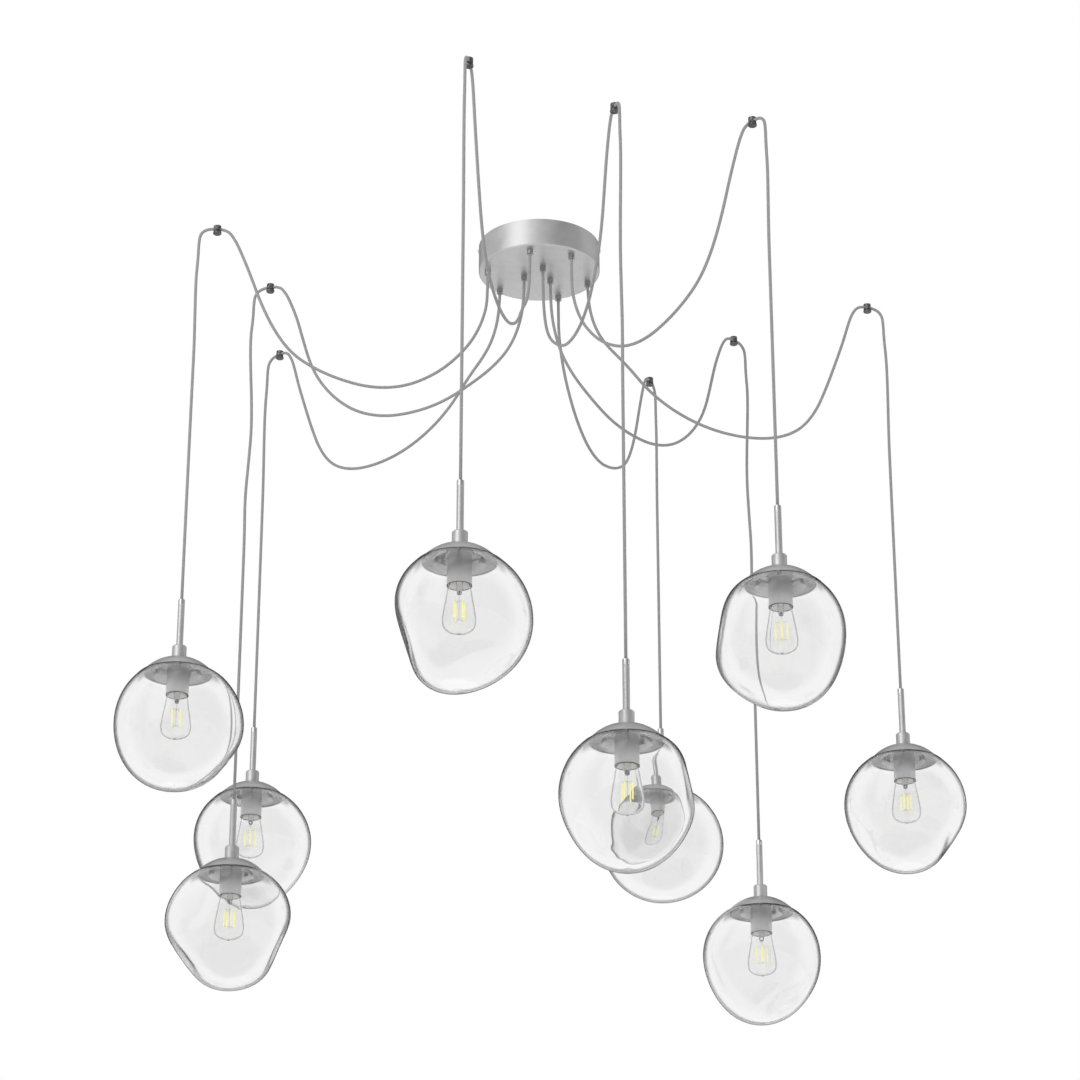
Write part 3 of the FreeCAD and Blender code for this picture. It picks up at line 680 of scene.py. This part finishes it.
# %% Fitting outlines
def dome(inset, from_r, to_r, steps=14):
    """Points down the cap's skin, this far in from its outer face."""
    centre = CAP_RISE - CAP_RIM - CAP_SPHERE
    points = []
    for step in range(steps + 1):
        r = from_r + (to_r - from_r) * step / steps
        points.append((r, centre + math.sqrt((CAP_SPHERE - inset) ** 2 - r * r)))
    return points


def fitting_pieces():
    """Name, outline, finish and slot of each turned piece of a fitting."""
    ferrule = rounded([(3.05, -0.6), (3.4, 0.0, 0.3), (STEM_R, 0.0, 1.6), (STEM_R, -11.0, 0.3),
                       (5.6, -11.2)], 0.3)
    stem = rounded([(5.4, -11.1), (STEM_R, -11.2, 0.3), (STEM_R, -COLLAR_TOP - 1)], 0.3)
    collar = rounded([(STEM_R, -COLLAR_TOP), (COLLAR_R - 2, -COLLAR_TOP, 0.5),
                      (COLLAR_R, -COLLAR_TOP - 2, 0.5), (COLLAR_R, -121.9)], 0.4)
    skin = dome(0, STEM_R, CAP_R - 0.15)
    inner = dome(SHEET, STEM_R, CAP_R - CAP_BEAD)[::-1]
    bead = [(CAP_R, -CAP_RIM), (CAP_R - 0.6, -CAP_RIM - 0.35), (CAP_R - CAP_BEAD, -CAP_RIM + 0.1)]
    hub_foot = -HOLDER_TOP - HOLDER_HUB_H
    hub = rounded([(SOCKET_R, -HOLDER_TOP), (HOLDER_HUB_R, -HOLDER_TOP), (HOLDER_HUB_R, hub_foot),
                   (SOCKET_R, hub_foot)], 0.5)
    return [("ferrule", ferrule, CHROME, "chrome"), ("stem", stem, SATIN, "satin_silver"),
            ("collar", collar, SATIN, "satin_silver"),
            ("cap", skin + bead + inner, SATIN, "satin_silver"),
            ("holder_hub", hub, ZINC, "satin_silver")]


print("fitting pieces", [row[0] for row in fitting_pieces()])

# %% [markdown]
# A finger is a bent strip, which isn't round, so its four corners are carried along a bent line.

# %% Holder fingers
def holder_fingers(name):
    """Three bent strips from the hub to the neck."""
    bends = [(HOLDER_HUB_R - 0.5, 0.75), (30.0, 0.75), (35.0, 0.9), (37.2, 1.7), (FINGER_R, 3.6),
             (FINGER_R, 9.0), (FINGER_R - 0.3, 12.6)]
    line = [(r, -HOLDER_TOP - down) for r, down in bends]
    vertices, faces, uvs = [], [], []
    for number in range(FINGERS):
        turn = Matrix.Rotation(2 * math.pi * number / FINGERS, 3, "Z")
        first_vertex = len(vertices)
        for i, (r, z) in enumerate(line):
            before, after = line[max(i - 1, 0)], line[min(i + 1, len(line) - 1)]
            run = Vector((after[0] - before[0], 0, after[1] - before[1])).normalized()
            out = Vector((-run.z, 0, run.x)) * (FINGER_T / 2)
            side = Vector((0, FINGER_W / 2, 0))
            for corner in (out + side, out - side, -out - side, -out + side):
                vertices.append(turn @ (Vector((r, 0, z)) + corner) * MM)
        strip, strip_uvs = ring_faces(len(line), 4, range(len(line)))
        faces += [tuple(i + first_vertex for i in face)[::-1] for face in strip]
        uvs += strip_uvs
        last = first_vertex + 4 * (len(line) - 1)
        faces += [tuple(range(first_vertex, first_vertex + 4)), tuple(range(last, last + 4))[::-1]]
        uvs += [(0, 0)] * 8
    return new_object(name, vertices, faces, uvs, ZINC, smooth=False)


print("spring fingers", FINGERS, "on every lamp")

# %% [markdown]
# ## Socket cup and lampholder
#
# The cup is open below. Its rolled rim is given dark metal as painted shade, for the dark line it
# shows from underneath. The pale insulator of the lampholder shows inside it, round the bulb, and a
# pale sleeve on the cup's inner wall stands as painted reflection of the bright floor. Both pale
# pieces also glow a little as painted light.

# %% Socket
INSULATOR_PAINTED_GLOW = 0.3        # painted light: how much the pale insulator glows, standing for the light of its bulb in the cup
SOCKET_FOOT = 196.0
LINER_R = 19.3


def insulator():
    """Pale glazed ceramic, slightly uneven in colour and gloss, with a painted glow for its bulb's
    light.
    """
    made, tree, shader = material("glazed insulator with painted glow")
    grain = grouped(tree, GRAIN)
    mottle = grain.outputs["Mottle"]
    feed(tree, shader, {"Base Color": tint(tree, mottle, grey(214), grey(232)),
                        "Roughness": span(tree, mottle, MOTTLE_LOW, MOTTLE_HIGH, 0.22, 0.34),
                        "Emission Color": (1, 0.98, 0.94, 1), "Emission Strength": INSULATOR_PAINTED_GLOW})
    return made


def socket_pieces():
    rim_r = SOCKET_R + 0.4
    cup = rounded([(STEM_R, -SOCKET_TOP), (SOCKET_R, -SOCKET_TOP, 1.5), (SOCKET_R, -193.0, 0.3),
                   (rim_r, -193.2, 0.3), (rim_r, -SOCKET_FOOT, 0.5), (20.1, -SOCKET_FOOT, 0.4),
                   (20.0, -127.6, 1.0), (STEM_R, -127.6)], 0.5)
    insert = rounded([(3.0, -131.0), (15.5, -131.0, 0.6), (15.5, -178.0, 0.8), (13.1, -178.0, 0.4),
                      (13.1, -137.0), (3.0, -137.0)], 0.5)
    # painted reflection: a pale sleeve on the cup's inner wall stands for the bright floor that the
    # wall mirrors
    liner = rounded([(20.0, -195.8), (LINER_R, -195.8, 0.3), (LINER_R, -150.0, 0.3),
                     (20.0, -150.0)], 0.3)
    # painted shade: the rolled rim is given dark metal for the dark line that it shows from underneath
    rim = rounded([(LINER_R, -194.8), (LINER_R, -196.2, 0.5), (rim_r, -196.2, 0.5),
                   (rim_r, -194.8)], 0.5)
    pale_with_painted_glow = insulator()
    return [("socket_cup", cup, SATIN, "satin_silver"), ("lampholder", insert, pale_with_painted_glow, "wiring"),
            ("cup_liner_painted_reflection", liner, pale_with_painted_glow, "wiring"), ("cup_rim_painted_shade", rim, GUNMETAL, "satin_silver")]


socket_rows = socket_pieces()
print("socket pieces", [row[0] for row in socket_rows])

# %% [markdown]
# The big cap gets more steps round than the slim pieces, so that its outline stays round up close.

# %% Fittings and sockets in place
STEPS_ROUND = {"cap": 112, "socket": 56, "fitting": 48}

fitting_rows = fitting_pieces()
for lamp in LAMPS:
    body = f"lamp_{lamp.number}"
    fitting, socket = f"fitting_{lamp.number}", f"socket_{lamp.number}"
    for key, outline, finish, slot in fitting_rows:
        around = STEPS_ROUND.get(key, STEPS_ROUND["fitting"])
        piece = repeat(key, lamp, lambda name: turned(name, outline, finish, around))
        place(piece, lamp, body, fitting)
    place(repeat("holder_fingers", lamp, holder_fingers), lamp, body, fitting)
    for key, outline, finish, slot in socket_rows:
        around = STEPS_ROUND["socket"]
        piece = repeat(key, lamp, lambda name: turned(name, outline, finish, around))
        place(piece, lamp, body, socket)
print("fittings and sockets hang on", len(LAMPS), "lamps")

# %% [markdown]
# ### Clear glass
#
# A blown globe shows as a thin dark line where light grazes its wall, with a clear band inside the
# line and a faint grey body; here the line and the band are painted reflection in the glass's colour.
# The painted line is darkest on faces that look up and on the shoulder, under the cap, where a painted
# shadow of the cap is added, and it fades towards the foot, which is painted bright. Light that
# travels straight to a lamp passes through, so the glass throws no dark shadow.

# %% Glass outline group
def build_painted_edge_shade_group():
    """Masks for painted reflection and shade: the dark edge line, the bright band inside it, the
    darker top.
    """
    tree, start, end = group("painted edge shade", {"Facing": 0.0, "From": 0.66, "To": 0.82, "Up": 0.0},
                             ["Line", "Clear", "Painted top shade"])
    # painted reflection: a dark line where the wall is seen edge on, and a bright band inside it
    line = span(tree, start.outputs["Facing"], start.outputs["From"], start.outputs["To"])
    clear = span(tree, start.outputs["Facing"], 0.2, 0.42)
    # painted shade: the line is darker on faces that look up
    painted_top_shade = span(tree, start.outputs["Up"], -0.5, 0.55)
    feed(tree, end, {"Line": line, "Clear": clear, "Painted top shade": painted_top_shade})
    return tree


PAINTED_EDGE_SHADE = build_painted_edge_shade_group()
print("group", PAINTED_EDGE_SHADE.name)

# %% [markdown]
# The shader itself is plain clear glass. Its colour carries painted reflection and shade: white in
# the painted bright bands and the painted bright foot, a faint grey in the body, and dark in the
# painted line, darkest on faces that look up and in the painted shadow under the cap. Left white,
# clear glass would vanish in front of a white wall. A real photographer puts black cards beside
# glass, whose reflection makes such a line; here the line is painted.

# %% Glass finishes
PAINTED_BRIGHT_FOOT_RING = (-0.3765, -0.3745)       # heights in the lamp between which the grey body ends and the painted bright foot begins
PAINTED_SHOULDER_SHADOW_BAND = (-0.167, -0.157)     # and those between which the painted shadow of the cap on the shoulder begins
PAINTED_SHOULDER_SHADOW_FACING = (0.48, 0.66)       # the painted shoulder shadow shows only where the glass is seen at a low angle
THROUGH_GLASS = (0.96, 0.97, 0.97, 1)     # the light of lamps that passes


def clear_glass(name, body, painted_line_facing_down, painted_line_facing_up, painted_line_from, painted_line_to, ior):
    """Clear glass that lets the light of lamps through, with painted reflection and shade in its
    colour.
    """
    made, tree, shader = material(name)
    edge = grouped(tree, PAINTED_EDGE_SHADE)
    facing = node(tree, "ShaderNodeLayerWeight", {"Blend": 0.5}).outputs["Facing"]
    up = axes(tree, node(tree, "ShaderNodeNewGeometry").outputs["Normal"])["Z"]
    feed(tree, edge, {"From": painted_line_from, "To": painted_line_to, "Facing": facing, "Up": up})
    height = axes(tree, on_object(tree))["Z"]
    # painted light: the foot is painted bright, and a painted shadow of the cap darkens the shoulder
    painted_bright_foot = maths(tree, "SUBTRACT", 1.0, span(tree, height, *PAINTED_BRIGHT_FOOT_RING))
    shoulder = times(tree, span(tree, height, *PAINTED_SHOULDER_SHADOW_BAND),
                     span(tree, facing, *PAINTED_SHOULDER_SHADOW_FACING))
    line = maths(tree, "MAXIMUM", edge.outputs["Line"], shoulder)
    clear = maths(tree, "MAXIMUM", edge.outputs["Clear"], painted_bright_foot)
    # the colour mixes the painted line, the painted bright band and foot, and the faint grey body
    colour = tint(tree, line, tint(tree, clear, body, grey(255)),
                  tint(tree, edge.outputs["Painted top shade"], painted_line_facing_down, painted_line_facing_up))
    feed(tree, shader, {"Base Color": colour, "Roughness": 0.0, "IOR": ior,
                        "Transmission Weight": 1.0})
    path = node(tree, "ShaderNodeLightPath")
    open_air = node(tree, "ShaderNodeBsdfTransparent", {"Color": THROUGH_GLASS})
    mixed = node(tree, "ShaderNodeMixShader", {0: path.outputs["Is Shadow Ray"],
                                               1: shader.outputs[0], 2: open_air.outputs[0]})
    feed(tree, tree.nodes["Material Output"], {"Surface": mixed.outputs[0]})
    return made


GLOBE_GLASS = clear_glass("globe glass with painted shade", grey(244), grey(90), grey(4), 0.66, 0.82, 1.47)
BULB_GLASS = clear_glass("bulb glass", grey(253), grey(110), grey(90), 0.55, 0.85, 1.45)
print("glass", GLOBE_GLASS.name, BULB_GLASS.name)

# %% [markdown]
# ## Globes
#
# A blown globe is a ball that was pressed while soft. Its distance from the centre is a plain radius
# less a few soft dents, each a bell-shaped hollow with a bearing, an elevation, a depth and a
# spread. Rows of points at a few elevations follow that rule, and smooth curves join them down each
# meridian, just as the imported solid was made. The same rows, one wall further in, are the inside.

# %% Globe shape
GLOBE_CENTRE = 263.0
GLOBE_WALL = 3.0
NECK_R = 42.0
NECK_TOP = 136.0
SHOULDER = [(0.0, 0.0), (0.3, 6.0), (2.0, 9.5), (6.0, 11.6), (14.0, 13.6), (24.0, 15.3)]
BANDS = (48, 36, 24, 12, 0, -12, -24, -36, -48, -60, -71, -80)
GLOBE_AROUND = 120
ROWS_PER_BAND = 5
DENTS_END = 48           # the elevation from which dents fade, so that the neck stays round
DENTS_FADE = 14
FOOT_R = 8.0             # of the last ring round the foot
LIP_STEPS = 6


def globe_radius(kind, bearing, elevation):
    """Distance of the globe's outer face from its centre. Bearings may be an array."""
    tilt = math.radians(elevation)
    share = min(max((elevation - DENTS_END) / DENTS_FADE, 0), 1)
    fade = 1 - share * share * (3 - 2 * share)
    radius = np.full(np.shape(bearing), kind.globe_r + kind.crown * math.sin(tilt))
    for dent in kind.dents:
        dent_tilt = math.radians(dent.elevation)
        beside = np.cos(bearing - math.radians(dent.bearing))
        nearness = (math.sin(tilt) * math.sin(dent_tilt)
                    + math.cos(tilt) * math.cos(dent_tilt) * beside)
        away = np.degrees(np.arccos(np.clip(nearness, -1, 1)))
        radius = radius - fade * dent.depth * np.exp(-(away / dent.spread) ** 2)
    return radius


print("radius of a far globe at its belt", round(float(globe_radius(FAR, np.zeros(1), 0)[0]), 1))

# %% [markdown]
# The rows start at the neck's edge, run over the flat shoulder under the cap, and then follow the
# ball at each elevation down to a small ring round the foot.

# %% Globe rows
def globe_rows(kind, inset):
    """Rows of points from the neck to the foot, this far inside the outer face."""
    bearings = np.arange(GLOBE_AROUND) * 2 * math.pi / GLOBE_AROUND
    ring = np.stack([np.cos(bearings), np.sin(bearings)], -1)
    rows = []
    for out, down in SHOULDER:
        drop = inset * min(out / 6.0, 1.0)
        side = inset * (1 - min(out / 24.0, 1.0) * 0.8)
        rows.append(np.column_stack([ring * (NECK_R + out - side),
                                     np.full(GLOBE_AROUND, -NECK_TOP - down - drop)]))
    for elevation in BANDS:
        tilt = math.radians(elevation)
        radius = globe_radius(kind, bearings, elevation) - inset
        rows.append(np.column_stack([ring * (radius * math.cos(tilt))[:, None],
                                     radius * math.sin(tilt) - GLOBE_CENTRE]))
    foot = float(globe_radius(kind, np.zeros(1), -90)[0]) - inset
    rows.append(np.column_stack([ring * FOOT_R * foot / kind.globe_r,
                                 np.full(GLOBE_AROUND, -GLOBE_CENTRE - foot)]))
    return rows


def smooth_rows(rows, steps):
    """More rows between the given ones, on smooth curves down each meridian."""
    gaps = [float(np.linalg.norm(b - a, axis=1).mean()) for a, b in zip(rows, rows[1:])]
    slopes = []
    for i, row in enumerate(rows):
        if i == 0:
            slopes.append((rows[1] - row) / gaps[0])
        elif i == len(rows) - 1:
            slopes.append((row - rows[i - 1]) / gaps[-1])
        else:
            back, ahead = (row - rows[i - 1]) / gaps[i - 1], (rows[i + 1] - row) / gaps[i]
            slopes.append((back * gaps[i] + ahead * gaps[i - 1]) / (gaps[i] + gaps[i - 1]))
    dense = [rows[0]]
    for i, gap in enumerate(gaps):
        for step in range(1, steps + 1):
            t = step / steps
            dense.append(rows[i] * (2 * t ** 3 - 3 * t ** 2 + 1)
                         + slopes[i] * gap * (t ** 3 - 2 * t ** 2 + t)
                         + rows[i + 1] * (3 * t ** 2 - 2 * t ** 3)
                         + slopes[i + 1] * gap * (t ** 3 - t ** 2))
    return dense


print("rows of a globe", len(globe_rows(FAR, 0.0)), "before smoothing")

# %% [markdown]
# The wall is closed by a round lip at the neck, and each face by a fan of triangles at the foot. The
# three kinds of globe are made once each and shared by the lamps of their kind.

# %% Globe mesh
def globe_mesh(name, kind):
    outer = smooth_rows(globe_rows(kind, 0.0), ROWS_PER_BAND)
    inner = smooth_rows(globe_rows(kind, GLOBE_WALL), ROWS_PER_BAND)
    middle = (outer[0] + inner[0]) / 2
    lip = []
    for step in range(1, LIP_STEPS):
        angle = math.pi * step / LIP_STEPS
        rise = np.array([0, 0, GLOBE_WALL / 2 * math.sin(angle)])
        lip.append(middle + (outer[0] - middle) * math.cos(angle) + rise)
    rows = outer[::-1] + lip + inner
    count = len(rows)
    along = np.arange(count) / count
    faces, uvs = ring_faces(count, GLOBE_AROUND, along)
    vertices = np.concatenate(rows) * MM
    tips = []
    for row, inside in ((0, False), (count - 1, True)):
        tips.append(vertices[row * GLOBE_AROUND:(row + 1) * GLOBE_AROUND].mean(0))
        centre = count * GLOBE_AROUND + len(tips) - 1
        for step in range(GLOBE_AROUND):
            a = row * GLOBE_AROUND + step
            b = row * GLOBE_AROUND + (step + 1) % GLOBE_AROUND
            faces.append((a, b, centre) if inside else (b, a, centre))
            uvs += [(0, along[row])] * 3
    return new_object(name, np.concatenate([vertices, tips]), faces, uvs, GLOBE_GLASS)


for lamp in LAMPS:
    kind = f" of kind {lamp.number % 3}"
    piece = repeat("globe", lamp, lambda name: globe_mesh(name, lamp.kind), kind)
    place(piece, lamp, f"globe_{lamp.number}", f"glass_{lamp.number}")
print("globes hang on", len(LAMPS), "lamps")

# %% [markdown]
# ## Bulbs
#
# The bulb is a clear pear with a squirrel cage: a glass mount, a centre rod with two wire crosses,
# and four straight filaments between them. The filaments glow only a little, so they keep their
# pale yellow against white. The envelope has a real inside, or it would act as a lens.

# %% Bulb glass
BULB_OUTLINE = [
    (12.8, -178.0), (15.0, -186.0), (19.3, -198.0), (23.8, -222.0), (27.8, -245.0),
    (29.0, -260.0), (26.6, -271.0), (19.5, -277.5), (10.0, -280.8), (3.0, -282.2)]
BULB_TIP = [(2.0, -282.9), (1.6, -283.8), (0.8, -284.4), (0.0, -284.5)]
BULB_WALL = 0.9
BULB_MOUNT = [(0.0, -212.0), (3.6, -211.6), (4.8, -206.0), (6.0, -190.0), (9.4, -178.4),
              (0.0, -178.4)]


def smooth_outline(points, steps=6):
    rows = smooth_rows([np.array([[r, z]]) for r, z in points], steps)
    return [tuple(row[0]) for row in rows]


def inset_outline(points, inset):
    """The same outline, moved in by the thickness of the wall."""
    result = []
    for i, (r, z) in enumerate(points):
        a, b = points[max(i - 1, 0)], points[min(i + 1, len(points) - 1)]
        run, fall = b[0] - a[0], b[1] - a[1]
        length = math.hypot(run, fall)
        result.append((max(r + inset * fall / length, 0), z - inset * run / length))
    return result


def bulb_glass(name):
    outer = smooth_outline(BULB_OUTLINE)
    inner = inset_outline(outer, BULB_WALL)
    outline = [(0.0, inner[-1][1])] + inner[::-1] + outer + BULB_TIP
    return turned(name, outline, BULB_GLASS, 64)


def bulb_mount(name):
    return turned(name, rounded(BULB_MOUNT, 1.5), BULB_GLASS, 32)


print("points down a bulb", len(smooth_outline(BULB_OUTLINE)))

# %% [markdown]
# Filaments and wires are straight rods. The filaments are coated strips about as thick as this, and
# show as pale yellow bars. Noise keeps their coating from looking like plain plastic.

# %% Cage and filaments
FILAMENTS = 4
FILAMENT_TOP, FILAMENT_FOOT = -224.0, -257.0
FILAMENT_CIRCLE_R = 10.5
FILAMENT_R = 1.35
FILAMENT_GLOW = 0.9
CAGE_TOP = -208.0
CAGE_WIRE_R = 0.3


def cage_points(height):
    turns = [math.radians(45 + 360 / FILAMENTS * number) for number in range(FILAMENTS)]
    circle = FILAMENT_CIRCLE_R
    return [(circle * math.cos(turn), circle * math.sin(turn), height) for turn in turns]


def cage_wires(name):
    ends = [((0, 0, CAGE_TOP), (0, 0, FILAMENT_FOOT))]
    for height in (FILAMENT_TOP, FILAMENT_FOOT):
        ends += [((0, 0, height), point) for point in cage_points(height)]
    return rods(name, ends, CAGE_WIRE_R, ZINC)


def filaments(name):
    ends = zip(cage_points(FILAMENT_TOP), cage_points(FILAMENT_FOOT))
    return rods(name, ends, FILAMENT_R, FILAMENT)


def glow():
    """A straw-coloured filament with a little light of its own."""
    made, tree, shader = material("warm filament")
    beads = noise(tree, on_object(tree), 900.0)
    straw = tint(tree, beads, (0.3, 0.26, 0.1), (0.2, 0.17, 0.06))
    feed(tree, shader, {"Base Color": straw, "Roughness": 0.6, "Emission Strength": FILAMENT_GLOW,
                        "Emission Color": (1.0, 0.94, 0.34, 1)})
    return made


FILAMENT = glow()
print("filaments", FILAMENTS, "in a cage", CAGE_TOP - FILAMENT_FOOT, "mm tall")

# %% [markdown]
# The screw base is turned like the rest: a few waves down its wall stand for the rolled thread, whose
# slope nobody sees inside the socket.

# %% Screw base
THREAD_R = 12.7
THREAD_TURNS = 7
THREAD_TOP, THREAD_FOOT = -155.5, -173.5
THREAD_DEPTH = 0.35


def screw_base(name):
    outline = [(0.0, -150.2), (4.6, -150.4), (5.0, -151.2), (5.0, -152.4), (12.2, -154.8)]
    steps = 4 * THREAD_TURNS
    for step in range(steps + 1):
        z = THREAD_TOP + (THREAD_FOOT - THREAD_TOP) * step / steps
        outline.append((THREAD_R + THREAD_DEPTH * math.sin(step * math.pi / 2), z))
    outline += [(12.9, -175.0), (12.9, -178.0), (12.0, -178.4)]
    return turned(name, outline, CHROME, 48)


BULB_PIECES = {"bulb_glass": bulb_glass, "bulb_mount": bulb_mount, "cage_wires": cage_wires,
               "filaments": filaments, "bulb_base": screw_base}
for lamp in LAMPS:
    for key, build in BULB_PIECES.items():
        piece = repeat(key, lamp, build)
        place(piece, lamp, f"bulb_unit_{lamp.number}", f"bulb_{lamp.number}")
print("each bulb has", list(BULB_PIECES))

# %% [markdown]
# ## Nodes that stay
#
# The glands, hooks, screws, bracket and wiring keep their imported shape, which is already exact, and
# only get a better finish: nickel-plated glands, dark hooks, zinc-plated bracket.

# %% Carried-over nodes
for name, finish in (("ceiling_bracket", ZINC), ("cover_screws", CHROME), ("cord_glands", NICKEL),
                     ("ceiling_hooks", GUNMETAL), ("canopy_wiring", ZINC)):
    NODES[name].data.materials.clear()
    NODES[name].data.materials.append(finish)
    print(name, "is now", finish.name)

# %% [markdown]
# ## Floor and studio
#
# The pendant hangs far above a pale floor, in front of white. Shiny metal needs something to
# reflect: a soft box on the left, darker screens on the right and behind, and a light floor. The
# screen behind also darkens the thin line round clear glass, where it mirrors at a low angle; most of
# that dark line is painted reflection in the glass's colour. The camera and everything seen through
# glass get plain white instead.

# %% Floor
FLOOR_Z = -5.2
FLOOR_HALF = 40.0
FLOOR_GLOW = 0.27        # lifts what the pendant mirrors
FLOOR_WHITE = 0.25       # added where the floor itself is looked at, also through glass
STUDIO_LEVEL = 0.6       # of the world, for everything that isn't shiny


def looks(tree):
    """Masks of the rays that look straight at something, also through glass, and of mirrored ones."""
    path = node(tree, "ShaderNodeLightPath").outputs
    straight = maths(tree, "MAXIMUM", path["Is Camera Ray"], path["Is Transmission Ray"])
    return straight, path["Is Glossy Ray"]


def add_floor():
    corners = [(-FLOOR_HALF, -FLOOR_HALF), (FLOOR_HALF, -FLOOR_HALF), (FLOOR_HALF, FLOOR_HALF),
               (-FLOOR_HALF, FLOOR_HALF)]
    floor = new_object("floor", [(x, y, FLOOR_Z) for x, y in corners], [(0, 1, 2, 3)])
    made, tree, shader = material("pale floor")
    cloud = noise(tree, on_object(tree), 0.6)
    straight, _ = looks(tree)
    glow_level = maths(tree, "ADD", times(tree, straight, FLOOR_WHITE), FLOOR_GLOW)
    feed(tree, shader, {"Base Color": tint(tree, cloud, grey(240), grey(246)), "Roughness": 0.9,
                        "Emission Color": (1, 1, 1, 1), "Emission Strength": glow_level})
    floor.data.materials.append(made)


add_floor()
print("floor", -FLOOR_Z, "m below the ceiling")

# %% [markdown]
# The world is plain white, except for shiny surfaces. Those see the studio, drawn from the direction
# in which a ray leaves: bearings are 0 towards the camera and grow to the right, in radians.

# %% World
SOFT_BOX = 1.25          # what the soft box adds to the studio's level
DARK_SIDE = 0.3          # what the screen on the right takes from it
DARK_BEHIND = 0.85       # the share that the screen behind the pendant takes away


def band(tree, value, rise, fall):
    """A strip with soft edges: up to 1 over the first two numbers, down to 0 over the last two."""
    return times(tree, span(tree, value, *rise), span(tree, value, *fall, 1.0, 0.0))


def studio_light(tree):
    way = axes(tree, node(tree, "ShaderNodeTexCoord").outputs["Generated"])
    bearing = maths(tree, "ARCTAN2", way["X"], times(tree, way["Y"], -1.0))
    away = span(tree, maths(tree, "ABSOLUTE", bearing), 2.2, 2.7)
    soft_box = band(tree, bearing, (-1.2, -0.9), (-0.5, -0.2))
    dark_side = band(tree, bearing, (0.1, 0.7), (1.2, 1.7))
    behind = times(tree, band(tree, way["Z"], (-0.02, 0.12), (0.7, 0.9)), away)
    level = maths(tree, "ADD", STUDIO_LEVEL, times(tree, soft_box, SOFT_BOX))
    level = maths(tree, "SUBTRACT", level, times(tree, dark_side, DARK_SIDE))
    left = maths(tree, "SUBTRACT", 1.0, times(tree, behind, DARK_BEHIND))
    light_floor = span(tree, way["Z"], -0.25, 0.05, 1.0, 0.0)
    return maths(tree, "MAXIMUM", times(tree, level, left), light_floor)


def between(tree, factor, low, high):
    return node(tree, "ShaderNodeMix", {"Factor": factor, "A": low, "B": high},
                data_type="FLOAT").outputs["Result"]


def add_world():
    """White for the camera and through glass. Shiny pieces see a soft studio instead."""
    world = bpy.data.worlds.new("studio")
    bpy.context.scene.world = world
    world.use_nodes = True
    tree = world.node_tree
    straight, mirrored = looks(tree)
    shiny = between(tree, mirrored, STUDIO_LEVEL, studio_light(tree))
    feed(tree, tree.nodes["Background"], {"Strength": between(tree, straight, shiny, 1.0),
                                          "Color": (1, 1, 1, 1)})


add_world()
print("world", bpy.context.scene.world.name)

# %% [markdown]
# Two large area lamps give the pendant its soft light: a key from the left of the camera and a weak
# fill from below right. Shiny pieces don't mirror them, because their hard squares would show.

# %% Lamps of the studio
AIM = Vector((0, 0, -0.8))
STUDIO_LAMPS = [("key", (-2.6, -3.2, 0.6), 1.6, 90), ("fill", (3.2, -2.2, -1.0), 2.2, 35)]

for name, spot, size, power in STUDIO_LAMPS:
    data = bpy.data.lights.new(name, "AREA")
    data.energy = power
    data.size = size
    light = bpy.data.objects.new(name, data)
    light.location = spot
    light.visible_glossy = False
    light.visible_transmission = False
    light.rotation_euler = (AIM - Vector(spot)).to_track_quat("-Z", "Y").to_euler()
    link(light)
    print("lamp", name, power, "W")

# %% [markdown]
# ## Finish
#
# The view transform stays plain, so a grey in a material is the grey in the picture.

# %% Finish
bpy.context.scene.view_settings.view_transform = "Standard"
